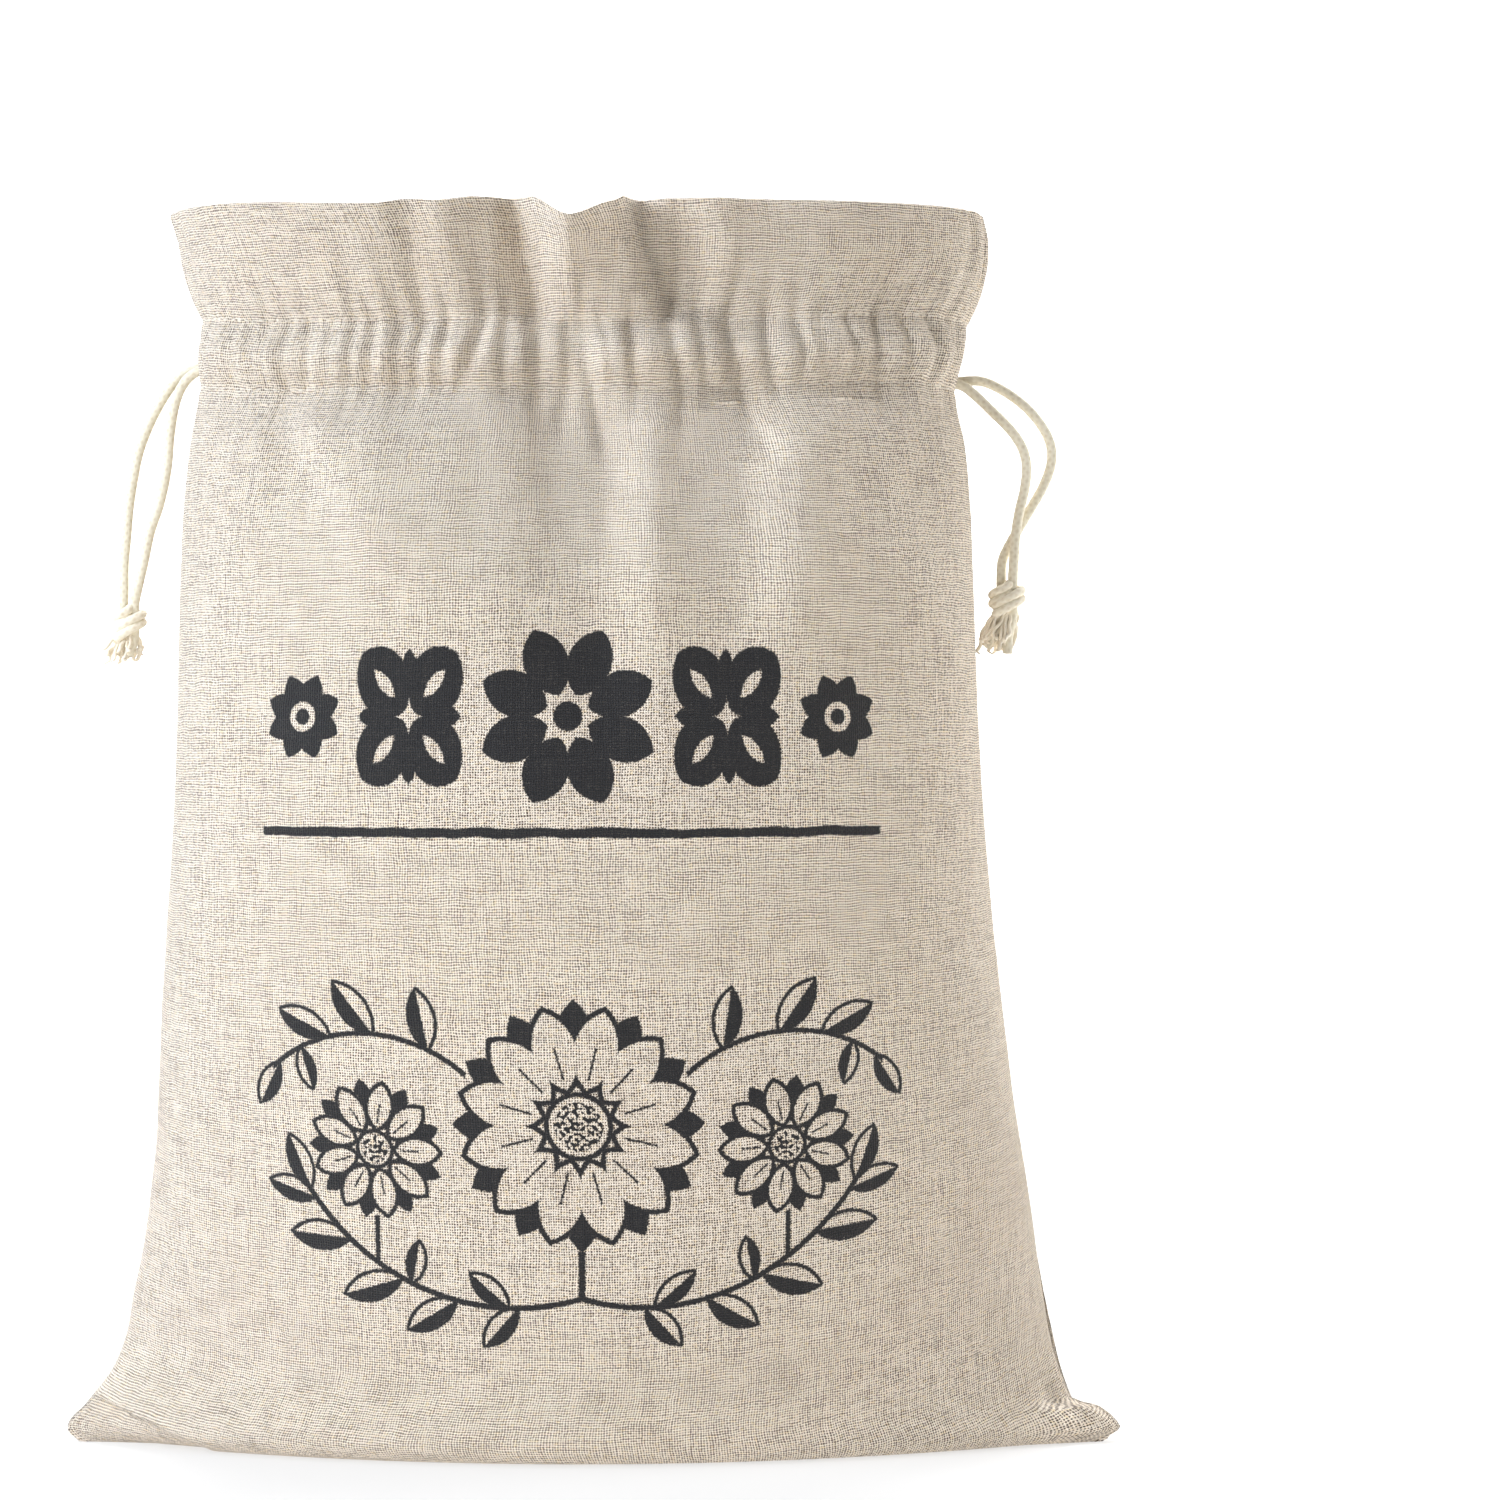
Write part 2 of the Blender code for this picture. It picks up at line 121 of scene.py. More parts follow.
class Wire:
    """A socket of a material's node tree, so that the maths of a pattern reads as an expression."""

    def __init__(self, tree, socket):
        self.tree = tree
        self.socket = socket

    def make(self, kind, settings, inputs, output=0):
        """Adds a node: its settings first, then the values and links of its sockets."""
        node = self.tree.nodes.new(kind)
        for name, value in settings.items():
            if name == "stops":
                ramp = node.color_ramp
                while len(ramp.elements) < len(value):
                    ramp.elements.new(1.0)
                for stop, (place, colour) in zip(ramp.elements, value):
                    stop.position = place
                    stop.color = colour
            else:
                setattr(node, name, value)
        for name, value in inputs.items():
            if isinstance(value, Wire):
                self.tree.links.new(value.socket, node.inputs[name])
            else:
                node.inputs[name].default_value = value
        return Wire(self.tree, node.outputs[output])

    def math(self, operation, *values):
        return self.make("ShaderNodeMath", {"operation": operation}, dict(enumerate(values)))

    def __add__(self, other):
        return self.math("ADD", self, other)

    def __radd__(self, other):
        return self.math("ADD", other, self)

    def __sub__(self, other):
        return self.math("SUBTRACT", self, other)

    def __rsub__(self, other):
        return self.math("SUBTRACT", other, self)

    def __mul__(self, other):
        return self.math("MULTIPLY", self, other)

    def __rmul__(self, other):
        return self.math("MULTIPLY", other, self)

    def __truediv__(self, other):
        return self.math("DIVIDE", self, other)

    def __pow__(self, other):
        return self.math("POWER", self, other)

    def __neg__(self):
        return self.math("MULTIPLY", self, -1.0)

    def __abs__(self):
        return self.math("ABSOLUTE", self)

    def below(self, other):
        return self.math("MINIMUM", self, other)

    def above(self, other):
        return self.math("MAXIMUM", self, other)

    def sine(self):
        return self.math("SINE", self)

    def cosine(self):
        return self.math("COSINE", self)

    def kept(self):
        """The value, kept between 0 and 1."""
        return self.make("ShaderNodeClamp", {}, {"Value": self})

    def ease(self, low, high):
        """0 up to low and 1 from high, rising smoothly between them."""
        sockets = {"Value": self, "From Min": low, "From Max": high}
        return self.make("ShaderNodeMapRange", {"interpolation_type": "SMOOTHSTEP"}, sockets)

    def vector(self, x, y, z=0.0):
        return self.make("ShaderNodeCombineXYZ", {}, {"X": x, "Y": y, "Z": z})

    def part(self, axis):
        return self.make("ShaderNodeSeparateXYZ", {}, {"Vector": self}, axis)

    def placed(self, move=(0.0, 0.0, 0.0), turn=0.0, size=(1.0, 1.0, 1.0)):
        """The vector, measured from a place, in directions turned by so many degrees, scaled."""
        rotation = (0.0, 0.0, math.radians(turn))
        sockets = {"Vector": self, "Location": move, "Rotation": rotation, "Scale": size}
        return self.make("ShaderNodeMapping", {"vector_type": "TEXTURE"}, sockets)

    def noise(self, scale, detail=2.0, roughness=0.5, dimensions="2D", output=0):
        """Soft noise at this place. Output 0 is a value, and output 1 a vector."""
        sockets = {"Vector": self, "Scale": scale, "Detail": detail, "Roughness": roughness}
        return self.make("ShaderNodeTexNoise", {"noise_dimensions": dimensions}, sockets, output)

    def bumped(self, distance, strength):
        """The normal of a surface that stands out by this value times a distance, in metres."""
        sockets = {"Height": self, "Distance": distance, "Strength": strength}
        return self.make("ShaderNodeBump", {}, sockets)

    def mixed(self, start, end):
        """One colour turning into another as this value goes from 0 to 1."""
        node = self.tree.nodes.new("ShaderNodeMix")
        node.data_type = "RGBA"
        for number, value in ((0, self), (6, start), (7, end)):
            if isinstance(value, Wire):
                self.tree.links.new(value.socket, node.inputs[number])
            else:
                node.inputs[number].default_value = value
        return Wire(self.tree, node.outputs[2])


def new_finish(name, roughness, sheen=0.0):
    """A material, its shader, its node tree, and the node that gives the places on the surface."""
    finish = bpy.data.materials.new(name)
    finish.use_nodes = True
    tree = finish.node_tree
    shader = tree.nodes["Principled BSDF"]
    shader.inputs["Roughness"].default_value = roughness
    shader.inputs["Specular IOR Level"].default_value = 0.25
    shader.inputs["Sheen Weight"].default_value = sheen
    shader.inputs["Sheen Roughness"].default_value = 0.6
    start = tree.nodes.new("ShaderNodeTexCoord")
    return finish, shader, tree, start


def joined(shader, name, wire):
    """Leads a wire into a socket of a shader."""
    wire.tree.links.new(wire.socket, shader.inputs[name])


def cord_finish(name, turns, length, shade=CORD_SHADE, cream=CORD_CREAM):
    """Undyed cotton braid: slanting plies round the cord, with a soft fuzz and slightly uneven cream, and
    painted shade in the grooves between the plies.
    """
    finish, shader, tree, start = new_finish(name, 0.9, 0.15)
    flat = Wire(tree, start.outputs["UV"])
    place = Wire(tree, start.outputs["Object"])
    along = flat.part(0) * (length / MM)
    around = flat.part(1)
    full_turn = 2 * math.pi
    one_way = (along * (turns * full_turn) + around * (PLIES * full_turn)).sine()
    other_way = (along * (turns * full_turn) - around * (PLIES * full_turn)).sine()
    plies = one_way.above(other_way) * 0.5 + 0.5
    fuzz = place.noise(FUZZ_SCALE, 3.0, dimensions="3D")
    patches = place.noise(FUZZ_SCALE / 10, 2.0, dimensions="3D")
    # painted shade: the colour is darker in the grooves between the plies, mixed with the fuzz's and
    # patches' own uneven tone
    light = (plies * 0.35 + fuzz * 0.5 + patches * 0.5).ease(0.15, 0.95)
    joined(shader, "Base Color", light.mixed(shade, cream))
    joined(shader, "Normal", (plies * 0.6 + fuzz * 0.6).bumped(0.00014, 0.8))
    return finish


def even_points(route, step):
    """Points at even steps on a smooth curve through a route."""
    route = np.array([tuple(p) for p in route])
    ends = np.vstack([2 * route[0] - route[1], route, 2 * route[-1] - route[-2]])
    fine = []
    for a, b, c, d in zip(ends, ends[1:], ends[2:], ends[3:]):
        for f in np.linspace(0.0, 1.0, ROUTE_STEPS, endpoint=False):
            turn = (2 * a - 5 * b + 4 * c - d) * f**2 + (3 * b - a - 3 * c + d) * f**3
            fine.append(0.5 * (2 * b + (c - a) * f + turn))
    fine = np.array(fine + [route[-1]])
    far = np.concatenate([[0.0], np.cumsum(np.linalg.norm(np.diff(fine, axis=0), axis=1))])
    at = np.linspace(0.0, far[-1], max(2, round(far[-1] / step) + 1))
    return np.stack([np.interp(at, far, fine[:, axis]) for axis in range(3)], axis=1)


def tube(name, routes, step, radius, thickness=None):
    """Round soft tubes along routes, as one curve. thickness is a share of the radius along each tube."""
    curve = bpy.data.curves.new(name, "CURVE")
    curve.dimensions = "3D"
    curve.bevel_depth = radius
    curve.bevel_resolution = 4
    curve.use_fill_caps = True
    for route in routes:
        points = even_points(route, step)
        spline = curve.splines.new("POLY")
        spline.points.add(len(points) - 1)
        for number, (place, point) in enumerate(zip(spline.points, points)):
            place.co = (*point, 1.0)
            if thickness is not None:
                place.radius = float(np.interp(number / (len(points) - 1), *thickness))
    obj = bpy.data.objects.new(name, curve)
    bpy.context.scene.collection.objects.link(obj)
    return obj


for name, route in CORD_ROUTES.items():
    piece = tube(f"hanging_{name}", [route], CORD_STEP, CORD_DIAMETER / 2)
    piece.data.materials.append(cord_finish(f"cotton_{name}", PLY_TURNS_PER_MM, CORD_LENGTHS[name]))
    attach(piece, "root")
    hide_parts(name)

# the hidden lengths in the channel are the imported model's own
for name in ("cord_left_run", "cord_right_run"):
    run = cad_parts[name]
    finish, shader, tree, start = new_finish(f"cotton_{name}", 0.9, 0.15)
    fuzz = Wire(tree, start.outputs["Object"]).noise(FUZZ_SCALE, 3.0, dimensions="3D")
    joined(shader, "Base Color", fuzz.ease(0.3, 0.7).mixed(CORD_SHADE, CORD_CREAM))
    joined(shader, "Normal", fuzz.bumped(0.0001, 0.8))
    run.data.materials.clear()
    run.data.materials.append(finish)

# ---- Knots ----
# An overhand knot in each pair of cords. The two cords lie side by side as they wrap round themselves,
# in a band that climbs from left to right, and the wrap's ends are tucked away inside.

KNOT_TUBE = 0.0013
KNOT_GAP = 0.0024
KNOT_START = 0.30
KNOT_TURNS = 1.35
KNOT_POINTS = 40
KNOT_STEP = 0.0006
KNOT_LEAN = 0.0016
KNOT_LENGTH = 0.036
TUCKED_SHARE = 0.12
TUCKED_BY = 0.55
KNOT_CREAM = (0.880, 0.815, 0.670, 1.0)
KNOT_SHADE = (0.690, 0.585, 0.420, 1.0)
KNOTS = {
    # x, z of the middle, half width and half depth of the wrap's own line, its rise on each turn
    "knot_left": (-0.1292, 0.2310, 0.0038, 0.0032, 0.0034),
    "knot_right": (0.1185, 0.2378, 0.0041, 0.0034, 0.0036),
}

knots = {}
for name, (x, z, half_width, half_depth, rise) in KNOTS.items():
    routes = []
    for lift in (KNOT_GAP / 2, -KNOT_GAP / 2):
        route = []
        for share in np.linspace(0.0, 1.0, KNOT_POINTS):
            turn = 2 * math.pi * (share * KNOT_TURNS - KNOT_START)
            from_end = min(share, 1 - share)
            tucked = 1 - TUCKED_BY * max(0.0, 1 - from_end / TUCKED_SHARE)
            aside = half_width * tucked * math.sin(turn)
            forward = half_depth * tucked * math.cos(turn)
            height = z + (share - 0.5) * KNOT_TURNS * rise + lift + KNOT_LEAN * math.sin(turn)
            route.append((x + aside, -forward, height))
        routes.append(route)
    piece = tube(f"tied_{name}", routes, KNOT_STEP, KNOT_TUBE)
    finish = cord_finish(f"cotton_{name}", PLY_TURNS_PER_MM, KNOT_LENGTH, KNOT_SHADE, KNOT_CREAM)
    piece.data.materials.append(finish)
    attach(piece, "root")
    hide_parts(name)
    knots[name] = piece

# ---- Frayed ends ----
# Below its knot each cord is cut off, and its soft yarns have opened into a short, uneven tuft.

YARNS = 34
YARN_RADIUS = 0.00050
YARN_STEP = 0.0007
YARN_LENGTH = 0.012
YARN_TURNS_PER_MM = 1.5
YARN_THICKNESS = ((0.0, 0.5, 0.88, 1.0), (1.1, 0.9, 1.1, 0.35))
YARN_BOW = 0.0012
YARN_CURL = 0.0012
YARN_SWAY = 0.0008
YARN_WANDER = 0.0007
ROOT_SPREAD = (0.0018, 0.0013, 0.0010)
TUFT_CREAM = (0.960, 0.890, 0.750, 1.0)
TUFT_SHADE = (0.840, 0.660, 0.420, 1.0)
TUFTS = {
    # the knot's middle, the tuft's own middle and half sizes, at its lower end
    "tuft_left": ((-0.1292, -0.0002, 0.2275), (-0.1309, 0.0, 0.2216), (0.0052, 0.0040, 0.0018)),
    "tuft_right": ((0.1185, -0.0002, 0.2340), (0.1152, 0.0, 0.2246), (0.0052, 0.0040, 0.0024)),
}

tufts = {}
for name, (top, low, spread) in TUFTS.items():
    rng = random.Random(name)
    routes = []
    for number in range(YARNS):
        aside = [rng.uniform(-1, 1) for axis in range(3)]
        end = [low[axis] + spread[axis] * aside[axis] for axis in range(3)]
        start = [top[0] + ROOT_SPREAD[0] * aside[0], top[1] + ROOT_SPREAD[1] * aside[1], top[2]]
        start[2] += rng.uniform(-ROOT_SPREAD[2], ROOT_SPREAD[2])
        route = [start]
        for share in (0.3, 0.55, 0.8):
            straight = zip(start, end)
            route.append([a + (b - a) * share + rng.uniform(-YARN_WANDER, YARN_WANDER) for a, b in straight])
            route[-1][0] += YARN_BOW * aside[0] * share * (1 - share) * 4
        curl = rng.uniform(-YARN_CURL, YARN_CURL)
        sway = rng.uniform(-YARN_SWAY, YARN_SWAY)
        drop = rng.uniform(-0.0002, 0.0010)
        route += [end, [end[0] + curl, end[1] + sway, end[2] - drop]]
        routes.append(route)
    piece = tube(name, routes, YARN_STEP, YARN_RADIUS, YARN_THICKNESS)
    piece.data.bevel_resolution = 2
    finish = cord_finish(f"cotton_{name}", YARN_TURNS_PER_MM, YARN_LENGTH, TUFT_SHADE, TUFT_CREAM)
    piece.data.materials.append(finish)
    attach(piece, "root")
    tufts[name] = piece

for side in ("left", "right"):
    for half in ("front", "back"):
        name = f"cord_{side}_{half}"
        [knots[f"knot_{side}"], tufts[f"tuft_{side}"]] if half == "front" else []

# ---- Cloth ----
# One length of plain-woven linen and cotton, 300 mm wide, folded at the bottom, sewn up both sides and
# turned in at the top as a hem. The drawn cords gather its neck into puffs, and long folds fade down
# from them over the full body. It is printed on the front only.

HALF_WIDTH = 0.150
SEAM_ALLOWANCE = (0.0005, 0.0022, 0.0046, 0.0070)
FLAT_HALF_WIDTH = HALF_WIDTH + SEAM_ALLOWANCE[-1]
CLOTH_THICKNESS = 0.0006
COLUMNS = 236
OUTLINE_STEPS = 721
LOWER_STITCH = 0.2944
UPPER_STITCH = 0.3126
CHANNEL = (0.2957, 0.3062)
RIM = 0.345
RIM_FLARE = 0.0105
RIM_FOLD = 0.0008
HEM_END = 0.2895
BOTTOM_ROLL = 0.0042
SLIT_HALF_WIDTH = 0.0052
SLIT_REACH = 0.020
SLIT_OPENS_OVER = 0.016
CHANNEL_DEPTH = 0.009
SLIT_DEPTH = 0.002
SECTIONS = (
    # height, width to the left, to the right, depth to the front and to the back, roundness
    (0.0000, 0.1440, 0.1425, 0.0460, 2.00),
    (0.0040, 0.1474, 0.1432, 0.0480, 1.95),
    (0.0110, 0.1420, 0.1385, 0.0500, 1.85),
    (0.0190, 0.1355, 0.1352, 0.0515, 1.70),
    (0.0450, 0.1276, 0.1290, 0.0580, 1.35),
    (0.0770, 0.1227, 0.1240, 0.0625, 1.15),
    (0.1100, 0.1204, 0.1190, 0.0660, 1.02),
    (0.1520, 0.1179, 0.1138, 0.0700, 0.96),
    (0.2050, 0.1156, 0.1103, 0.0720, 0.90),
    (0.2490, 0.1134, 0.1083, 0.0665, 0.86),
    (0.2800, 0.1113, 0.1066, 0.0530, 0.82),
    (0.2944, 0.1094, 0.1046, 0.0452, 0.80),
    (0.3030, 0.1092, 0.1062, 0.0470, 0.80),
    (0.3126, 0.1090, 0.1078, 0.0444, 0.80),
    (0.3200, 0.1118, 0.1108, 0.0462, 0.79),
    (0.3280, 0.1138, 0.1126, 0.0488, 0.77),
    (0.3370, 0.1150, 0.1127, 0.0521, 0.74),
    (0.3450, 0.1172, 0.1108, 0.0548, 0.70),
)
NECK_VALLEYS = {
    # the broad valleys at the neck, in mm: across the cloth, half width, depth
    "front": ((-92, 18, 1.2), (-51, 16, 0.9), (-8, 22, 3.0), (54, 22, 3.0), (100, 18, 2.2)),
    "back": ((-90, 18, 2.0), (-42, 17, 2.4), (12, 17, 2.0), (64, 18, 2.4)),
}
GATHERS = (
    # the creases between the puffs in front, in mm: x at the upper stitches, x at the lower ones, depth
    (-97.8, -96.2, 0.9), (-91.8, -91.0, 1.1), (-86.7, -87.0, 0.8), (-81.5, -82.0, 1.2),
    (-75.2, -76.6, 0.9), (-68.4, -70.6, 0.9), (-62.4, -64.3, 1.5), (-57.0, -58.6, 1.5),
    (-49.9, -50.4, 2.1), (-43.1, -45.5, 2.0), (-36.3, -38.8, 1.6), (-26.7, -33.5, 2.2),
    (-20.7, -21.2, 2.2), (-12.6, -11.9, 3.8), (-4.4, -4.1, 2.2), (0.2, 3.0, 3.4),
    (5.1, 8.8, 1.4), (13.6, 14.7, 2.0), (23.7, 28.0, 2.8), (32.1, 34.6, 1.6),
    (40.3, 44.6, 2.8), (50.9, 53.1, 1.6), (58.3, 60.0, 1.4), (64.9, 67.5, 1.2),
    (72.2, 73.9, 1.2), (81.2, 82.5, 2.0), (88.6, 89.6, 1.4), (95.3, 95.5, 1.6), (101.5, 100.8, 1.2),
)
SIDE_GATHERS = (-146, -139, -132, -125, 125, 132, 139, 146)
BACK_GATHER_ENDS = (-0.118, 0.112)
BACK_GATHER_DEPTHS = (0.8, 1.0, 1.3, 1.6, 2.4, 3.0)
GATHERS_DEEPEST = (
    # the depth that the creases don't pass, in mm, at each height
    (LOWER_STITCH - 0.012, 7.0), (LOWER_STITCH, 1.9), (CHANNEL[0], 1.25),
    (CHANNEL[1], 1.25), (UPPER_STITCH, 1.9), (UPPER_STITCH + 0.012, 7.0),
)
GATHER_FADE = 1.3
CREASE_NARROWEST = 0.0012
CREASE_WIDTH_FOR_DEPTH = 0.30
CREASE_SHARPNESS = 1.35
PUFF_BESIDE_SEAMS = 0.0024
PUFF_IN_MIDDLE = 0.0010
STITCH_PINCH = 0.00055
STITCH_PINCH_HALF_WIDTH = 0.0014
FOLDS = {
    # the flanks of the long folds below the neck, in mm: x at the neck, x and height of the low end, half
    # width, and how much further out the cloth is on its right than on its left
    "front": (
        (-96, -98, 205, 20, 2.4), (-84, -87, 235, 3.5, -1.8), (-81, -43, 214, 5.5, 5.4),
        (-49, -41, 236, 5, -1.8), (-34, -28, 228, 4, -2.6), (-14, -8, 175, 9, -5.4),
        (-13, -8.5, 232, 2.2, -1.5), (3, 4, 262, 3.5, -1.0), (12.5, 15.5, 175, 6, 5.8),
        (26, 27, 195, 5, -2.2), (51.5, 50, 185, 6.5, 7.6), (71, 64, 195, 8, -5.6),
        (90, 94, 222, 5, -2.6), (100, 102, 232, 5, 2.4),
    ),
    "back": (
        (-90, -84, 215, 8, 3.0), (-66, -60, 200, 9, -4.2), (-41, -38, 210, 6, 3.4), (-22, -24, 205, 7, -3.0),
        (2, -2, 220, 6, 2.6), (24, 20, 195, 8, -4.0), (47, 44, 205, 6, 4.2), (70, 64, 215, 8, -3.0),
        (92, 88, 225, 6, 1.0),
    ),
}
FLUTES = {
    # the flanks of the heading's folds, in mm: x at the rim and at the stitches, half widths there, how much
    # further out the cloth is on its right than on its left, and how early it starts above the stitches
    "front": (
        (-80, -78, 26, 22, 7.0, 0.6), (-51, -47, 3.5, 3, -3.0, 0.5), (-42, -41, 3.5, 3, 1.8, 0.5),
        (-31, -30, 7, 6, -5.6, 0.45), (-21.5, -20, 3.0, 3, -6.0, 0.36), (-11.5, -8.0, 7.6, 3.8, 21.0, 0.42),
        (4.5, 4, 6.0, 5.5, -8.6, 0.5), (13.0, 21.0, 3.0, 5.4, -15.0, 0.36), (20.5, 21, 3, 3, 6.0, 2.6),
        (33, 36, 7, 7.5, 10.8, 0.36), (36, 36, 8, 8, -8.0, 2.6), (66, 64, 9, 8, 2.2, 0.6),
        (90, 88, 18, 16, 3.0, 0.6),
    ),
    "back": (
        (-96, -92, 16, 12, 3.0, 0.6), (-58, -56, 7, 6, -6.0, 0.6), (-42, -44, 5, 4, 8.6, 0.6),
        (-24, -28, 8, 6, -5.4, 0.6), (4, 0, 9, 8, 1.8, 0.6), (31, 28, 7, 6, -6.0, 0.6),
        (46, 44, 5, 4, 8.4, 0.6), (63, 62, 8, 6, -5.6, 0.6), (92, 90, 14, 12, 1.2, 0.6),
    ),
}
VALLEYS_REACH = (LOWER_STITCH - 0.018, 0.334)
FOLDS_START = LOWER_STITCH - 0.014
FOLD_SPREAD = 1.3
FLUTE_SPREAD = 1.25
PLEATS_REACH = 0.022
SEAM_DIP = 0.001
SEAM_DIP_HALF_WIDTH = 0.0022
SEAM_GAP = 0.0001
RIM_SEAM_GAP = 0.0009
GRID_FROM_SEAM = 0.0012
CORNER_WIDTH = 0.024
SIDE_FOLDS = (
    # upright folds in the heading beside the seams, in mm: place across the cloth, half width, depth
    (-140.5, 3.0, 2.2), (-131.0, 4.0, 1.0), (127.0, 3.4, 1.2), (137.5, 3.2, 2.6),
)
ROW_LIFT = (
    # how much higher the rows of stitches lie near the seams, in mm: place across the cloth, lift
    (-150, 3.0), (-136, 2.4), (-109, 0.6), (-95, 0.0), (48, 0.0),
    (70, 0.7), (96, 2.2), (115, 2.6), (138, 1.8), (150, 1.2),
)
TURN_ROWS = 7
WALL_ROWS = (
    # the rows of the grid: lowest height, highest, step, finer where the creases are finer
    (0.0056, 0.0090, 0.0011), (0.0094, 0.0130, 0.0005), (0.0138, 0.0240, 0.0016), (0.0245, 0.2480, 0.0033),
    (0.2490, 0.2880, 0.0019), (0.2890, 0.3184, 0.0010), (0.3196, RIM - 2 * RIM_FOLD, 0.0014),
)
HEM_ROWS = ((0.3415, 0.3160, -0.0034), (0.3146, HEM_END, -0.0018))
EARS_TOP = 0.030
RIGHT_EAR = (
    # height, and how far right the right ear reaches beyond the even outline, in mm
    (0.0, 3.4), (0.0037, 8.4), (0.0080, 7.6), (0.0100, 6.4), (0.0110, 2.6), (0.0124, 0.0),
)
RIGHT_EAR_CREASES = (
    # upright ones beside the right seam: place across the cloth, half width, depth
    (0.1398, 0.0034, 0.0017), (0.1340, 0.0040, -0.0008),
)
# the slanting crease over the left ear goes down to the right from this x and height
LEFT_EAR_CREASE = (-0.1356, 0.0126)
LEFT_EAR_SLOPE = 0.36
LEFT_EAR_DEPTH = {"front": 0.0055, "back": 0.0025}
LEFT_SLOT_HEIGHT = 0.0045
LEFT_SLOT_HALF_WIDTH = 0.0011
LEFT_SLOT_DEPTH = 0.0016
RUFFLES = (
    # unevenness: how many swells to the metre across and along the cloth, their own seed, height in mm
    (24, 20, 0, 0.9), (62, 48, 5, 0.28), (150, 120, 9, 0.07),
)


def section(height):
    """The outline's width to each side, its depth and its roundness at a height."""
    table = np.array(SECTIONS)
    heights = table[:, 0]
    slopes = np.gradient(table, heights, axis=0)
    i = int(np.clip(np.searchsorted(heights, height) - 1, 0, len(heights) - 2))
    span = heights[i + 1] - heights[i]
    f = min(max((height - heights[i]) / span, 0.0), 1.0)
    start = (1 + 2 * f) * (1 - f) ** 2 * table[i] + f * (1 - f) ** 2 * span * slopes[i]
    end = f * f * (3 - 2 * f) * table[i + 1] - f * f * (1 - f) * span * slopes[i + 1]
    return start + end


def outline(half, height, across):
    """x and y of the outer face, at places across the cloth and a height."""
    _, left, right, depth, roundness = section(height)
    turn = np.linspace(0.0, math.pi, OUTLINE_STEPS)
    x = (right - left) / 2 - (right + left) / 2 * np.cos(turn)
    y = (-depth if half == "front" else depth) * np.maximum(np.sin(turn), 0.0) ** roundness
    share = np.concatenate([[0.0], np.cumsum(np.hypot(np.diff(x), np.diff(y)))])
    here = across / (2 * HALF_WIDTH) + 0.5
    return np.interp(here, share / share[-1], x), np.interp(here, share / share[-1], y)


def outward(half, x, y):
    """The level direction straight out of the cloth at each column, and straight sideways on a seam."""
    x = np.concatenate([[x[2], x[1]], x, [x[-2], x[-3]]])
    y = np.concatenate([[-y[2], -y[1]], y, [-y[-2], -y[-3]]])
    along_x = x[4:] - x[:-4]
    along_y = y[4:] - y[:-4]
    far = np.hypot(along_x, along_y)
    sign = 1.0 if half == "front" else -1.0
    return sign * along_y / far, -sign * along_x / far


def places_across(half, height, table):
    """Turns a table's x, in mm, into places across the cloth at a height."""
    steps = np.arange(-HALF_WIDTH, HALF_WIDTH + MM / 4, MM / 2)
    x, _ = outline(half, height, steps)
    return np.interp(np.array(table) * MM, x, steps)


def bell(aside):
    """1 in the middle of a fold, 0 from its edges on."""
    return np.where(np.abs(aside) < 1, np.cos(np.clip(aside, -1, 1) * math.pi / 2) ** 2, 0.0)


def between(value, low, high):
    """0 up to low and 1 from high, rising smoothly between them."""
    share = np.clip((value - low) / (high - low), 0.0, 1.0)
    return share * share * (3 - 2 * share)


def crease_places(half):
    """The gathers' creases, each with its places at the two rows of stitches, its depth there, how far it
    runs above and below them, how much it leans, how slack it is in between, and how far it bows there."""
    rng = random.Random(f"creases {half}")
    if half == "front":
        upper, lower, depths = (np.array(column) for column in zip(*GATHERS))
        upper = places_across(half, UPPER_STITCH, upper)
        lower = places_across(half, LOWER_STITCH, lower)
    else:
        upper = [BACK_GATHER_ENDS[0]]
        while upper[-1] < BACK_GATHER_ENDS[1]:
            upper.append(upper[-1] + rng.uniform(0.0058, 0.0096))
        upper = np.array(upper)
        lower = upper + np.array([rng.uniform(-0.0018, 0.0018) for place in upper])
        depths = np.array([rng.choice(BACK_GATHER_DEPTHS) for place in upper])
    sides = np.array(SIDE_GATHERS) * MM
    kept = np.abs(sides) > np.abs(upper).max() + 0.003
    upper = np.concatenate([upper, sides[kept]])
    lower = np.concatenate([lower, sides[kept]])
    depths = np.concatenate([depths, np.full(kept.sum(), 1.0)]) * MM
    found = []
    for high_place, low_place, depth in zip(upper, lower, depths):
        high = depth * rng.uniform(0.85, 1.35)
        low = depth * rng.uniform(0.45, 0.90)
        above = rng.uniform(0.005, 0.013) + 3.2 * depth
        below = rng.uniform(0.004, 0.010) + 3.6 * depth
        lean_up = rng.uniform(-0.16, 0.16)
        lean_down = rng.uniform(-0.20, 0.20)
        slack = rng.uniform(0.30, 0.75)
        bow = rng.uniform(-0.0016, 0.0016)
        found.append((high_place, low_place, high, low, above, below, lean_up, lean_down, slack, bow))
    return found


creases = {half: crease_places(half) for half in ("front", "back")}


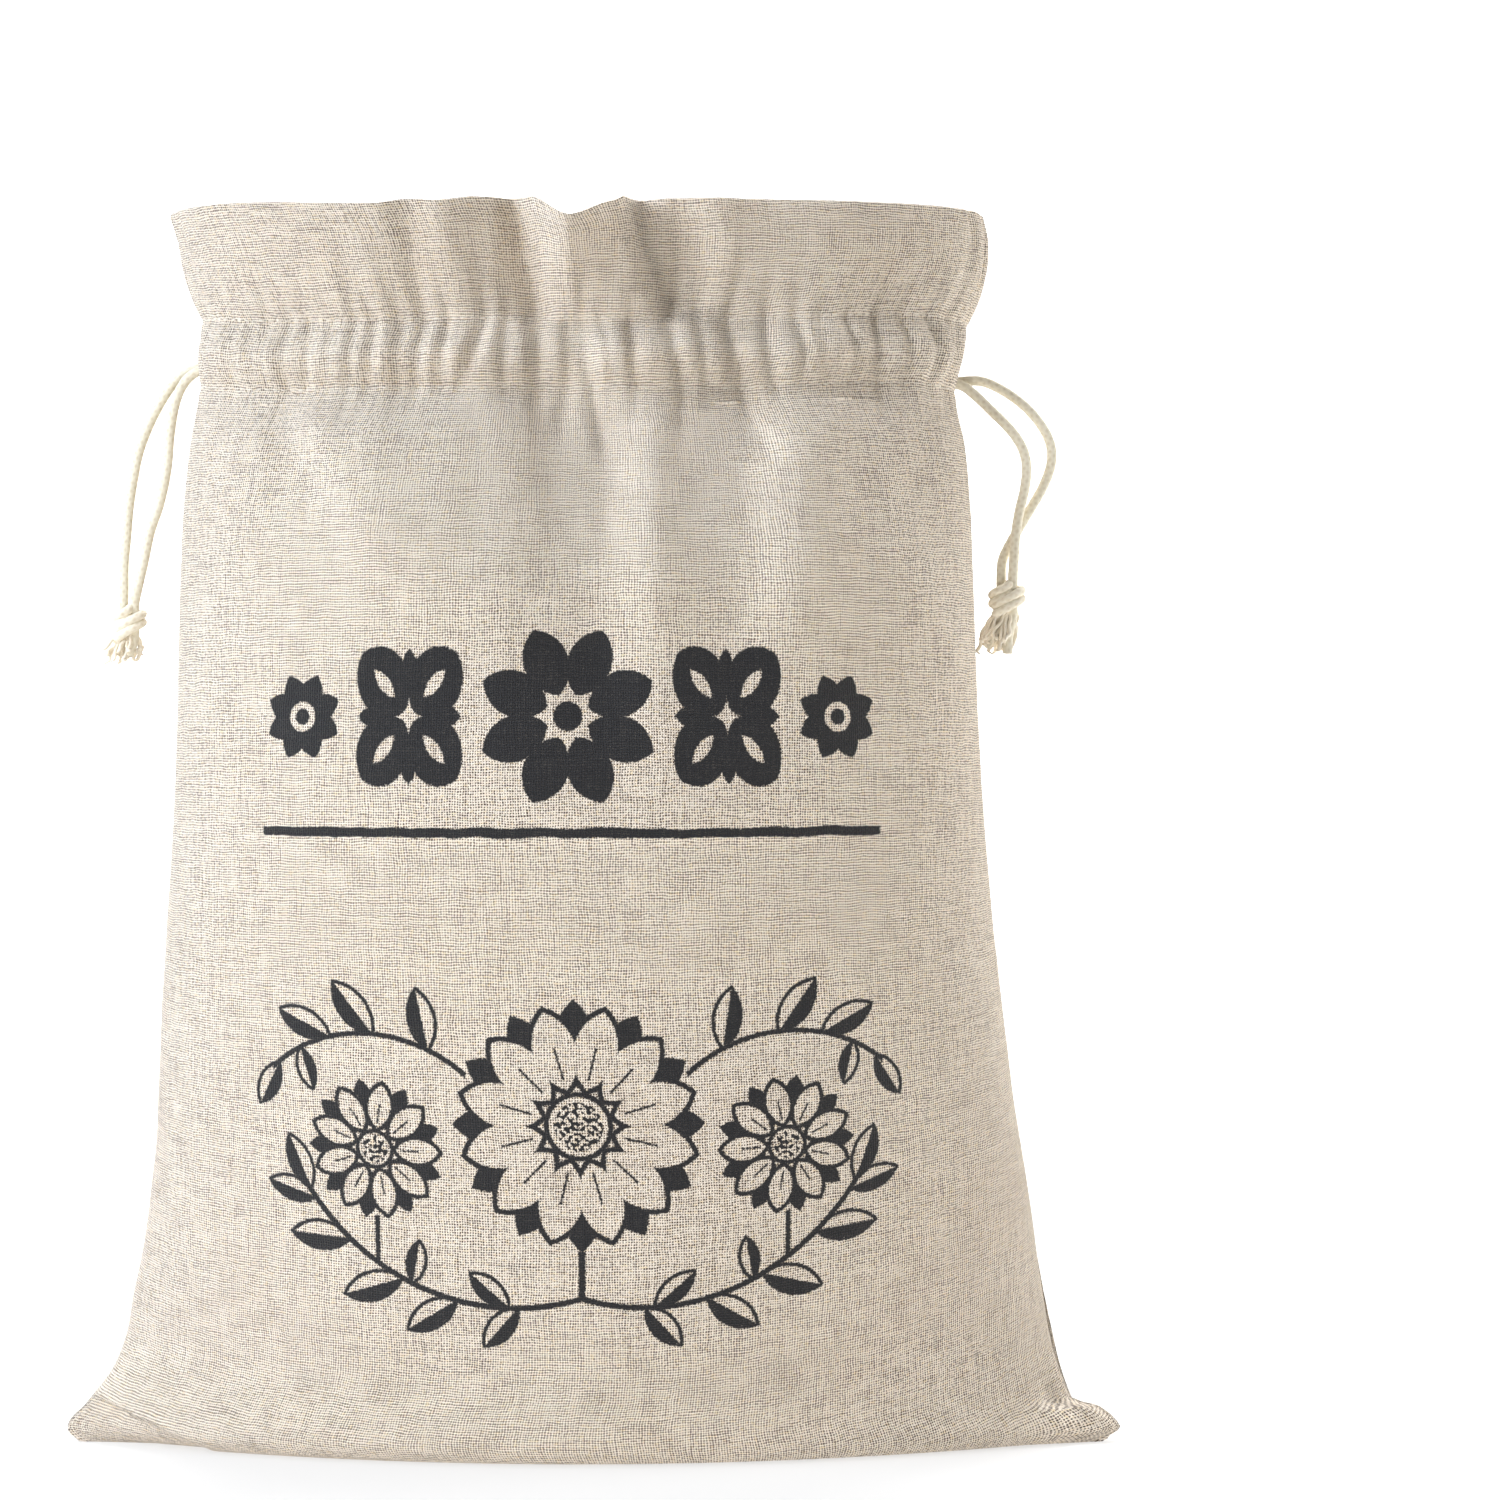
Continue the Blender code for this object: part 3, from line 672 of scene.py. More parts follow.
def gathered(half, across, height):
    """How far out the gathers bring the cloth at a height: creases, pinched at the stitches and fading from
    them, and the puffs between the two rows."""
    deep = np.zeros_like(across)
    rise = height - UPPER_STITCH
    drop = LOWER_STITCH - height
    for high_place, low_place, high, low, above, below, lean_up, lean_down, slack, bow in creases[half]:
        if rise > 0:
            place = high_place + lean_up * rise
            depth = high * math.exp(-((rise / above) ** GATHER_FADE))
            wider = 1 + 0.7 * rise / above
        elif drop > 0:
            place = low_place + lean_down * drop
            depth = low * math.exp(-((drop / below) ** GATHER_FADE))
            wider = 1 + 0.8 * drop / below
        else:
            share = (height - LOWER_STITCH) / (UPPER_STITCH - LOWER_STITCH)
            middle = math.sin(math.pi * share)
            place = low_place + (high_place - low_place) * share + bow * middle
            depth = (low + (high - low) * share) * (1 - slack * middle)
            wider = 1 + 0.4 * middle
        half_width = (CREASE_NARROWEST + CREASE_WIDTH_FOR_DEPTH * (high + low) / 2) * wider
        deep += depth * np.exp(-(np.abs((across - place) / half_width) ** CREASE_SHARPNESS))
    deepest = float(np.interp(height, *zip(*GATHERS_DEEPEST))) * MM
    out = -deepest * np.tanh(deep / deepest)
    if rise < 0 and drop < 0:
        puffed = math.sin(math.pi * (height - LOWER_STITCH) / (UPPER_STITCH - LOWER_STITCH)) ** 0.8
        swollen = PUFF_BESIDE_SEAMS * between(np.abs(across), HALF_WIDTH, 0.125)
        swollen += PUFF_IN_MIDDLE * between(np.abs(across), 0.100, 0.050)
        out += swollen * puffed * np.exp(-deep / (0.8 * MM))
    for stitch in (LOWER_STITCH, UPPER_STITCH):
        out -= STITCH_PINCH * math.exp(-(((height - stitch) / STITCH_PINCH_HALF_WIDTH) ** 2))
    return out


def stepped(x, middle, half_width, rise):
    """A flank: 0 on its left, rise on its right."""
    return rise * between(x, middle - half_width, middle + half_width)


def fluted(half, across, height):
    """How far the heading stands out beyond its even flare, and how much lower that leaves it."""
    reach = np.zeros_like(across)
    if height <= UPPER_STITCH:
        return reach, reach
    share = min((height - UPPER_STITCH) / (RIM - UPPER_STITCH), 1.0)
    x, _ = outline(half, height, across)
    for rim_x, low_x, rim_wide, low_wide, rise, start in FLUTES[half]:
        middle = low_x + (rim_x - low_x) * share
        half_width = FLUTE_SPREAD * (low_wide + (rim_wide - low_wide) * share)
        reach += stepped(x / MM, middle, half_width, rise * MM * share**start)
    reach -= reach[-1] * (across / HALF_WIDTH + 1) / 2
    for place, half_width, depth in SIDE_FOLDS:
        reach -= depth * MM * bell((across / MM - place) / half_width) * share**0.5
    flare = share * RIM_FLARE
    lowered = ((flare + reach) ** 2 - flare**2) / (2 * (RIM - UPPER_STITCH)) * share
    return reach, np.maximum(lowered, 0.0)


def folded(half, across, x, height):
    """How far out the long folds stand at a height."""
    out = np.zeros_like(across)
    for middle, half_width, depth in NECK_VALLEYS[half]:
        rise = between(height, VALLEYS_REACH[0], LOWER_STITCH)
        fall = between(height, VALLEYS_REACH[1], UPPER_STITCH)
        out -= depth * MM * bell((across - middle * MM) / (half_width * MM)) * rise * fall
    if height < LOWER_STITCH:
        top = between(height, LOWER_STITCH, FOLDS_START)
        for top_x, low_x, low, half_width, rise in FOLDS[half]:
            share = (LOWER_STITCH - height) / (LOWER_STITCH - low * MM)
            if share < 1:
                middle = top_x + (low_x - top_x) * share
                wide = FOLD_SPREAD * half_width * (0.85 + 0.6 * share)
                strength = top * between(share, 1.0, 0.40)
                out += stepped(x / MM, middle, wide, rise * MM * strength)
        out -= out[-1] * (across / HALF_WIDTH + 1) / 2
    return out


def pleated(half, across, height):
    """Fine upright creases that run out of the gathers, above and below, and slanting ones between them."""
    seed = 31.0 if half == "front" else 47.0
    away = max(height - UPPER_STITCH, LOWER_STITCH - height, 0.0)
    strength = math.exp(-((away / PLEATS_REACH) ** 1.2))
    if strength < 0.02:
        return np.zeros_like(across)
    out = []
    for place in across:
        upright = abs(noise.noise(Vector((place * 85, height * 9, seed))))
        slanting = abs(noise.noise(Vector((place * 80 + height * 60, height * 30, seed + 3))))
        out.append((0.30 - upright) * 0.9 + (0.28 - slanting) * 0.5)
    in_channel = between(away, 0.004, 0.0)
    out = np.array(out)
    return (out * (1 - in_channel) + np.maximum(out, 0.0) * in_channel) * strength * MM


def eared(half, across, x, height):
    """The two bottom corners, where the seam and the fold meet in a small flap: how far the cloth moves to
    the right and how far in."""
    aside = np.zeros_like(across)
    inward = np.zeros_like(across)
    if height > EARS_TOP:
        return aside, inward
    near_right = between(across, HALF_WIDTH - CORNER_WIDTH, HALF_WIDTH - 0.004)
    aside += near_right * float(np.interp(height, *zip(*RIGHT_EAR))) * MM
    upright = between(height, 0.024, 0.014) * between(height, 0.0, 0.005)
    for place, half_width, depth in RIGHT_EAR_CREASES:
        inward += depth * np.exp(-(((across - place) / half_width) ** 2)) * upright
    crease = LEFT_EAR_CREASE[1] - (x - LEFT_EAR_CREASE[0]) * LEFT_EAR_SLOPE
    below = between(crease - height, -0.0002, 0.0014) * between(x, -0.1040, -0.1085)
    inward += LEFT_EAR_DEPTH[half] * below * between(x, -0.1475, -0.1330)
    if half == "front":
        slot = np.exp(-(((height - LEFT_SLOT_HEIGHT) / LEFT_SLOT_HALF_WIDTH) ** 2))
        inward += LEFT_SLOT_DEPTH * slot * between(x, -0.1330, -0.1370) * between(x, -0.1475, -0.1440)
    return aside, inward


def ruffled(across, far, half):
    """The cloth's own unevenness: long soft swells and small wrinkles."""
    seed = 3.0 if half == "front" else 17.0
    out = np.zeros_like(across)
    for wide, tall, own_seed, size in RUFFLES:
        out += [noise.noise(Vector((place * wide, far * tall, seed + own_seed))) * size for place in across]
    return out * MM


def sagged(across, height):
    """How much lower in the flat cloth a place is for its height: near the base the threads rise to both
    seams, because the middle of the cloth is drawn under the bag."""
    rise = np.where(across > 0, 30.0, 15.0) * MM * (across / HALF_WIDTH) ** 2
    return rise * between(height, 0.200, 0.004)


def hem_depth(across, height):
    """How far behind the outer face the hem lies: deep in the channel, where the cords run."""
    near_slit = np.clip(1.0 - ((HALF_WIDTH - np.abs(across)) / SLIT_REACH) ** 2, 0.0, 1.0)
    channel = CHANNEL_DEPTH + SLIT_DEPTH * near_slit
    heights = (HEM_END, LOWER_STITCH, CHANNEL[0], CHANNEL[1], UPPER_STITCH, UPPER_STITCH + 0.006)
    share = float(np.interp(height, heights, (0, 0, 1, 1, 0, 0)))
    return 2 * RIM_FOLD * (1 - share) + channel * share


def cloth_rows():
    """Each row of points: its height, how far behind the outer face, its share of the base, its part."""
    rows = []
    for share in np.linspace(0.0, 1.0, TURN_ROWS)[:-1]:
        rows.append((0.0, BOTTOM_ROLL, float(share), "base"))
    for turn in np.linspace(-90.0, 0.0, TURN_ROWS):
        angle = math.radians(turn)
        rows.append((BOTTOM_ROLL * (1 + math.sin(angle)), BOTTOM_ROLL * (1 - math.cos(angle)), 1.0, "roll"))
    for height in np.concatenate([np.arange(*stretch) for stretch in WALL_ROWS]):
        rows.append((float(height), 0.0, 1.0, "wall"))
    for turn in np.linspace(0.0, 180.0, TURN_ROWS):
        angle = math.radians(turn)
        height = RIM - RIM_FOLD + RIM_FOLD * math.sin(angle)
        rows.append((height, RIM_FOLD * (1 - math.cos(angle)), 1.0, "rim"))
    for height in np.concatenate([np.arange(*stretch) for stretch in HEM_ROWS]):
        rows.append((float(height), None, 1.0, "hem"))
    rows.append((HEM_END, 0.0011, 1.0, "end"))
    rows.append((HEM_END, 0.0004, 1.0, "end"))
    return rows


def cloth_points(half):
    """The cloth's points row by row, each row's flat length from the bottom fold, how much lower its places
    are in the flat cloth, and the places across, with and without the allowance."""
    side = -1.0 if half == "front" else 1.0
    edges = len(SEAM_ALLOWANCE)
    grid_end = HALF_WIDTH - GRID_FROM_SEAM
    inner = np.linspace(-grid_end, grid_end, COLUMNS - 2 * edges - 1)
    across = np.concatenate([[-HALF_WIDTH], inner, [HALF_WIDTH]])
    seamward = between(np.abs(across), HALF_WIDTH - CORNER_WIDTH, HALF_WIDTH)
    points, lengths, drops = [], [], []
    far, last = 0.0, None
    middle = len(across) // 2
    for height, depth, share, part in cloth_rows():
        here = across
        up_slit = (height - CHANNEL[0] + MM) / (CHANNEL[1] - CHANNEL[0] + 2 * MM)
        if part == "wall" and 0 < up_slit < 1:
            opened = SLIT_HALF_WIDTH * math.sin(math.pi * up_slit)
            opened = opened * between(np.abs(across), HALF_WIDTH - SLIT_OPENS_OVER, HALF_WIDTH)
            here = across - np.sign(across) * opened
        x, y = outline(half, height, here)
        out_x, out_y = outward(half, x, y)
        spot = np.array([x[middle], y[middle] * share, height])
        if part == "hem" or part == "end":
            spot = spot - np.array([0.0, side * 2 * RIM_FOLD, 0.0])
        far += 0.0 if last is None else float(np.linalg.norm(spot - last))
        last = spot
        relief = gathered(half, across, height) + folded(half, across, x, height)
        relief += pleated(half, across, height)
        moved, inward = eared(half, across, x, height)
        reach, lowered = fluted(half, across, height)
        fading = between(height, 0.004, 0.030) if part != "base" else 0.0
        relief += reach + ruffled(across, far if part != "hem" else height, half) * fading
        relief -= SEAM_DIP * np.exp(-(((HALF_WIDTH - np.abs(across)) / SEAM_DIP_HALF_WIDTH) ** 2))
        if part == "hem":
            depth = hem_depth(across, height)
        if part == "base" or part == "roll":
            depth = depth * (1 - 0.7 * seamward)
        relief = relief - depth
        lift = np.interp(across / MM, *zip(*ROW_LIFT)) * MM
        lift = lift * between(height, 0.262, LOWER_STITCH) * between(height, RIM - 0.004, UPPER_STITCH)
        flat_y = y + out_y * relief
        flat_y = flat_y - np.sign(flat_y) * np.minimum(np.maximum(inward, 0.0), 0.6 * np.abs(flat_y))
        flat_y = flat_y - np.sign(flat_y) * np.minimum(inward, 0.0)
        row = np.stack([x + out_x * relief + moved, flat_y * share, height - lowered + lift], axis=1)
        left, right = [], []
        turned_in = {"base": 0.0, "roll": 0.0, "wall": 0.0, "rim": float(np.mean(depth)) / (2 * RIM_FOLD)}
        aside = side * (SEAM_GAP + RIM_SEAM_GAP * turned_in.get(part, 1.0))
        for step in SEAM_ALLOWANCE:
            left.insert(0, (row[0, 0] + step, aside, row[0, 2]))
            right.append((row[-1, 0] - step, aside, row[-1, 2]))
        points.append(np.concatenate([left, row, right]))
        lengths.append(far)
        drop = sagged(across, height)
        drops.append(np.concatenate([[drop[0]] * edges, drop, [drop[-1]] * edges]))
    allowance = np.array(SEAM_ALLOWANCE)
    flat = np.concatenate([-HALF_WIDTH - allowance[::-1], across, HALF_WIDTH + allowance])
    return np.array(points), np.array(lengths), np.array(drops), flat, across


def make_cloth(half):
    """One half of the cloth as a sheet with its real thickness, and its flat cut as a UV map in metres."""
    points, lengths, drops, flat, across = cloth_points(half)
    rows, columns = points.shape[:2]
    bm = bmesh.new()
    bmesh.ops.create_grid(bm, x_segments=columns - 1, y_segments=rows - 1, size=0.5)
    flat_map = bm.loops.layers.uv.new("UVMap")
    spots = {}
    for vert in bm.verts:
        column = round((vert.co.x + 0.5) * (columns - 1))
        row = round((vert.co.y + 0.5) * (rows - 1))
        spots[vert] = (row, column)
    for face in bm.faces:
        for loop in face.loops:
            row, column = spots[loop.vert]
            loop[flat_map].uv = (flat[column] + FLAT_HALF_WIDTH, lengths[row] - drops[row, column])
    for vert, (row, column) in spots.items():
        vert.co = points[row, column]
    bmesh.ops.remove_doubles(bm, verts=bm.verts, dist=0.000002)
    if half == "back":
        bmesh.ops.reverse_faces(bm, faces=bm.faces)
    mesh = bpy.data.meshes.new(f"bag_{half}_cloth")
    bm.to_mesh(mesh)
    bm.free()
    mesh.shade_smooth()
    obj = bpy.data.objects.new(f"bag_{half}_cloth", mesh)
    bpy.context.scene.collection.objects.link(obj)
    thickness = obj.modifiers.new("thickness", "SOLIDIFY")
    thickness.thickness = CLOTH_THICKNESS
    thickness.offset = -1.0
    thickness.material_offset = 1
    return obj, points[:, len(SEAM_ALLOWANCE):-len(SEAM_ALLOWANCE)], lengths, across


def flat_height(lengths, height):
    """How far along the flat cloth a height on the wall is, in mm."""
    wall = [(row[0], length) for row, length in zip(cloth_rows(), lengths) if row[3] == "wall"]
    return float(np.interp(height, *zip(*wall))) / MM


# The print: charcoal ink, pressed on after sewing. A row of bold block flowers stands on a rule, and a
# spray of daisies and leaves, drawn in line and filled in part, is under it. Its two heights on the bag
# are in metres, and all its other sizes in mm.

INK = (0.0105, 0.0112, 0.0128, 1.0)
ROW_HEIGHT = 0.2040
SPRAY_HEIGHT = 0.0880
ROSETTE_PETALS = 8
ROSETTE_RADIUS = 25.0
CROSS_PLACE = 43.5
STAR_PLACE = 75.0
STAR_PETALS = 8
STAR_RADIUS = 12.0
RULE_DROP = 32.0
RULE_HALF_LENGTH = 88.0
RULE_HALF_WIDTH = 1.35
MIDDLE_DAISY = (0.0, 6.0, 0.0)
SIDE_DAISY = (57.0, -2.0, 0.0)
STEMS = (
    # the middle of the arc, its radius, its turn and half its angle in degrees, half the line's width
    (58.0, 30.0, 42.0, 0.0, 43.0, 0.75),
    (44.0, -40.0, 70.0, 200.0, 37.0, 0.85),
)
STALKS = (
    # place, lower and upper end, half the line's width
    (0.0, -42.0, -28.0, 0.95),
    (57.0, -34.0, -20.0, 0.75),
)
LEAF_LINE = 0.55
LEAVES = (
    # where the stalk ends, the leaf's turn in degrees, its length
    (40.2, 26.1, 80.0, 17.0), (55.8, 29.9, 52.0, 18.0), (68.2, 28.8, 24.0, 17.0),
    (77.7, 25.1, 254.0, 12.0), (84.6, 20.4, 300.0, 14.0), (17.6, -44.0, 310.0, 15.0),
    (20.0, -43.8, 40.0, 14.0), (34.6, -42.5, 326.0, 17.0), (47.0, -38.6, 100.0, 12.0),
    (50.0, -37.4, 340.0, 18.0), (65.0, -27.6, 0.0, 18.0), (75.2, -17.1, 14.0, 15.0),
    (76.8, -14.8, 68.0, 16.0),
)


def petal(place, near, far, half_width):
    """How far outside a pointed petal a place is. It lies on the x axis, from near to far."""
    half_length = (far - near) / 2
    radius = (half_length**2 + half_width**2) / (2 * half_width)
    x = place.part(0) - (near + far) / 2
    y = abs(place.part(1)) + (radius - half_width)
    return (x * x + y * y) ** 0.5 - radius


def turned(place, count, offset=0.0):
    """A place folded into one of the equal wedges round the origin."""
    x, y = place.part(0), place.part(1)
    angle = y.math("ARCTAN2", y, x) + (offset + math.pi * 40 / count)
    wedge = angle.math("MODULO", angle, 2 * math.pi / count) - math.pi / count
    far = (x * x + y * y) ** 0.5
    return place.vector(far * wedge.cosine(), far * wedge.sine())


def disc(place, radius):
    """How far outside a disc a place is."""
    x, y = place.part(0), place.part(1)
    return (x * x + y * y) ** 0.5 - radius


def daisy(place, count, radius, line):
    """A daisy, as a distance: a ring of petals in line, solid ones behind them, and a dotted button."""
    front = petal(turned(place, count), radius * 0.27, radius * 0.94, radius * 0.19)
    behind = petal(turned(place, count, math.pi / count), radius * 0.3, radius, radius * 0.17)
    rib = abs(turned(place, count).part(1))
    rib = rib.above(abs(disc(place, radius * 0.5)) - radius * 0.12) - line * 0.45
    ring = abs(disc(place, radius * 0.25)) - line
    dots = (0.50 - place.noise(0.85, 0.0)) * 3.0
    drawn = (abs(front) - line).below((behind + line * 0.4).above(-front))
    drawn = drawn.below(rib).above(-disc(place, radius * 0.25))
    return drawn.below(ring).below(dots.above(disc(place, radius * 0.19)))


def leaf(place, x, y, turn, length, line=LEAF_LINE):
    """A leaf with its rib, as a distance, solid on one side of it. Its stalk end is at x, y."""
    own = place.placed((x, y, 0.0), turn)
    whole = petal(own, 0.0, length, length * 0.22)
    return (abs(whole) - line).below(whole.above(own.part(1)))


def stem(place, x, y, radius, turn, half_angle, line):
    """An arc, as a distance: from its middle at x, y, it bends round a centre radius away."""
    own = place.placed((x, y, 0.0), turn)
    centre = own.placed((0.0, -radius, 0.0))
    aside = abs(own.part(0)) - radius * math.sin(math.radians(half_angle))
    lower = -own.part(1) - radius
    return (abs(disc(centre, radius)) - line).above(aside).above(lower)


def stalk(place, x, low, high, line):
    """A short upright line, as a distance."""
    return (abs(place.part(0) - x) - line).above(abs(place.part(1) - (low + high) / 2) - (high - low) / 2)


def block_row(place):
    """The row of block motifs, as a distance from the ink: each is drawn once and mirrored."""
    mirrored = place.vector(abs(place.part(0)), place.part(1))
    rosette = petal(turned(place, ROSETTE_PETALS), 6.0, ROSETTE_RADIUS, 6.2).below(disc(place, 4.0))
    side = mirrored.placed((CROSS_PLACE, 0.0, 0.0), 0.0, (1.0, 1.26, 1.0))
    quarter = turned(side, 4)
    cross = petal(quarter, 1.6, 19.0, 7.2).above(-petal(quarter, 5.8, 14.0, 1.5))
    cross = cross.below(petal(turned(side, 4, math.pi / 4), 4.0, 14.5, 2.6))
    outer = mirrored.placed((STAR_PLACE, 0.0, 0.0))
    star = petal(turned(outer, STAR_PETALS), -3.0, STAR_RADIUS, 4.2)
    star = star.above(-disc(outer, 4.0)).below(disc(outer, 2.2))
    drift = place.noise(0.09, 2.0) * 1.6
    rule = abs(place.part(1) + RULE_DROP - drift) - RULE_HALF_WIDTH
    rule = rule.above(mirrored.part(0) - RULE_HALF_LENGTH)
    return rosette.below(cross).below(star).below(rule)


def spray(place):
    """The spray, as a distance from the ink: one side is drawn and mirrored."""
    mirrored = place.vector(abs(place.part(0)), place.part(1))
    middle = place.placed(MIDDLE_DAISY)
    drawn = daisy(middle, 12, 35.0, 0.75)
    small = mirrored.placed(SIDE_DAISY)
    side = daisy(small, 9, 20.0, 0.62)
    green = None
    for shape, rows in ((stem, STEMS), (stalk, STALKS), (leaf, LEAVES)):
        for row in rows:
            part = shape(mirrored, *row)
            green = part if green is None else green.below(part)
    green = green.above(-disc(middle, 33.0)).above(-disc(small, 18.5))
    return drawn.below(side).below(green)


THREAD_PITCH = 0.72
YARN_DARK = (0.740, 0.605, 0.460, 1.0)
YARN_PALE = (0.990, 0.910, 0.800, 1.0)
YARN_GOLD = (0.830, 0.650, 0.380, 1.0)
YARN_VIOLET = (0.660, 0.580, 0.540, 1.0)
FLECK_BROWN = (0.310, 0.210, 0.120, 1.0)
PAINTED_SHADE_BETWEEN_YARNS = (0.450, 0.330, 0.220, 1.0)
PINHOLE_SHADE = (0.060, 0.030, 0.014, 1.0)


def linen_finish(name, printed, lengths):
    """Natural linen and cotton in plain weave, 14 threads to the centimetre, with slubs and flecks, and
    painted shade between the threads and in the pinholes.
    """
    finish, shader, tree, start = new_finish(name, 0.92, 0.12)
    metres = Wire(tree, start.outputs["UV"])
    flat = metres.placed((FLAT_HALF_WIDTH, 0.0, 0.0), 0.0, (MM, MM, MM))
    bend = flat.noise(0.13, output=1)
    bend_x = (bend.part(0) - 0.5) * 1.1
    bend_y = (bend.part(1) - 0.5) * 1.1
    warp = (flat.part(0) + bend_x) / THREAD_PITCH
    weft = (flat.part(1) + bend_y) / THREAD_PITCH
    warp_wave = (warp * math.pi).cosine()
    weft_wave = (weft * math.pi).cosine()
    over = warp_wave * weft_wave
    warp_yarn = flat.vector(warp * 0.8, weft * 0.05).noise(1.0, 1.0).ease(0.2, 0.8)
    weft_yarn = flat.vector(warp * 0.05, weft * 0.8).noise(1.0, 1.0).ease(0.2, 0.8)
    warp_high = warp_wave * warp_wave * (over * 0.5 + 0.5) * (warp_yarn * 0.3 + 0.60)
    weft_high = weft_wave * weft_wave * (0.5 - over * 0.5) * (weft_yarn * 0.3 + 0.85)
    high = warp_high.above(weft_high)
    on_top = (warp_high - weft_high).ease(-0.1, 0.1)
    yarn = on_top * warp_yarn + (1 - on_top) * weft_yarn
    clouds = flat.noise(0.035, 3.0)
    tone = (yarn * 0.36 + clouds * 0.14 + 0.30).kept()
    linen = tone.mixed(YARN_DARK, YARN_PALE)
    gold = flat.vector(warp * 0.45, weft * 1.1).noise(0.9, 2.0).ease(0.58, 0.70)
    linen = (gold * 0.55).mixed(linen, YARN_GOLD)
    violet = flat.vector(warp * 1.1, weft * 0.6 + 40.0).noise(0.9, 2.0).ease(0.60, 0.72)
    linen = (violet * 0.30).mixed(linen, YARN_VIOLET)
    fleck = flat.noise(0.55, 4.0, 0.7).ease(0.735, 0.77)
    linen = (fleck * 0.6).mixed(linen, FLECK_BROWN)
    # the pinholes between the threads are wider where two neighbouring threads have drifted apart, and they
    # are painted dark: painted shade for the inside seen through them
    warp_gap = flat.vector(warp * 0.6 + 90.5, weft * 0.06).noise(1.0, 1.0)
    weft_gap = flat.vector(warp * 0.06, weft * 0.6 + 60.5).noise(1.0, 1.0)
    each = flat.vector(warp + 0.5, weft + 0.5).noise(0.9, 0.0)
    wide = (warp_gap * 0.45 + weft_gap * 0.45 + each * 0.8).ease(0.50, 1.15)
    hole = (1 - warp_wave * warp_wave) * (1 - weft_wave * weft_wave)
    gap = (hole + wide * 0.60 - 0.55).ease(0.0, 0.32)
    # painted shade: the colour darkens between the threads, where the weave's height is low
    linen = ((1 - high.ease(0.02, 0.42)) * 0.32).mixed(linen, PAINTED_SHADE_BETWEEN_YARNS)
    # painted shade in the pinholes, since the cloth itself has no holes
    linen = (gap * 0.97).mixed(linen, PINHOLE_SHADE)
    if printed:
        rough = flat.noise(1.6, 3.0, 0.6) - 0.5
        row_place = flat.placed((0.0, flat_height(lengths, ROW_HEIGHT), 0.0))
        spray_place = flat.placed((0.0, flat_height(lengths, SPRAY_HEIGHT), 0.0))
        drawn = block_row(row_place).below(spray(spray_place)) + rough * 1.1
        ink = (0.5 - drawn * 3.0).kept()
        worn = high.ease(0.04, 0.30) * 0.16 + 0.84
        linen = (ink * worn).mixed(linen, INK)
    joined(shader, "Base Color", linen)
    creased = flat.noise(0.22, 4.0, 0.55)
    joined(shader, "Normal", (high + creased * 0.7).bumped(0.00030, 1.0))
    return finish


cloths = {}
for half in ("front", "back"):
    piece, surface, lengths, across = make_cloth(half)
    piece.data.materials.append(linen_finish(f"linen_{half}", half == "front", lengths))
    # the ink doesn't come through to the inner face
    piece.data.materials.append(linen_finish(f"linen_{half}_inside", False, lengths))
    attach(piece, "root")
    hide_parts("bag_cloth")
    cloths[half] = (piece, surface, across)

# ---- Stitches ----
# Two rows of off-white cotton lockstitch hold the hem, one on each side of the channel, with stitches
# 3 mm long that sink a little into the cloth.

STITCH_PITCH = 0.0030
STITCH_HALF_LENGTH = 0.00122
STITCH_RADIUS = 0.00022
STITCH_RAISED_BY = 0.00008
ROW_END = HALF_WIDTH - 0.002
THREAD_SHADE = (0.62, 0.54, 0.44, 1.0)
THREAD_CREAM = (0.86, 0.80, 0.71, 1.0)

for half, (cloth, surface, across) in cloths.items():
    heights = np.array([row[0] if row[3] == "wall" else -1.0 for row in cloth_rows()])
    bm = bmesh.new()
    for stitch in (LOWER_STITCH, UPPER_STITCH):
        line = surface[int(np.argmin(np.abs(heights - stitch)))]
        for place in np.arange(-ROW_END, ROW_END, STITCH_PITCH):
            ends = []
            for aside in (-STITCH_HALF_LENGTH, STITCH_HALF_LENGTH):
                ends.append(Vector([np.interp(place + aside, across, line[:, axis]) for axis in range(3)]))
            along = (ends[1] - ends[0]).normalized()
            out = along.cross(Vector((0, 0, 1))).normalized() * (1 if half == "front" else -1)
            up = out.cross(along)
            turn = Matrix((along, out, up)).transposed().to_4x4()
            size = Matrix.Diagonal(((ends[1] - ends[0]).length / 2, STITCH_RADIUS, STITCH_RADIUS, 1.0))
            spot = Matrix.Translation((ends[0] + ends[1]) / 2 + out * STITCH_RAISED_BY)
            bmesh.ops.create_uvsphere(bm, u_segments=6, v_segments=5, radius=1.0, matrix=spot @ turn @ size)
    bmesh.ops.recalc_face_normals(bm, faces=bm.faces)
    mesh = bpy.data.meshes.new(f"hem_stitches_{half}")
    bm.to_mesh(mesh)
    bm.free()
    mesh.shade_smooth()
    piece = bpy.data.objects.new(f"hem_stitches_{half}", mesh)
    bpy.context.scene.collection.objects.link(piece)
    finish, shader, tree, start = new_finish(f"thread_{half}", 0.8, 0.1)
    twist = Wire(tree, start.outputs["Object"]).noise(1400.0, dimensions="3D")
    joined(shader, "Base Color", twist.ease(0.3, 0.7).mixed(THREAD_SHADE, THREAD_CREAM))
    piece.data.materials.append(finish)
    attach(piece, "root")

# ---- Floor and light ----
# A white table that curves up into a white wall, in the light of a studio: most of it comes from four
# lamps on the left, with two broad ones on the right, one above, and a small one low in front. One more
# lights the wall.

PAPER_WIDTH = 14.0
PAPER_LENGTH = 9.0
PAPER_FRONT = -3.0
PAPER_FLAT = 4.2
PAPER_BEND = 1.9
BEND_RADIUS = 1.2

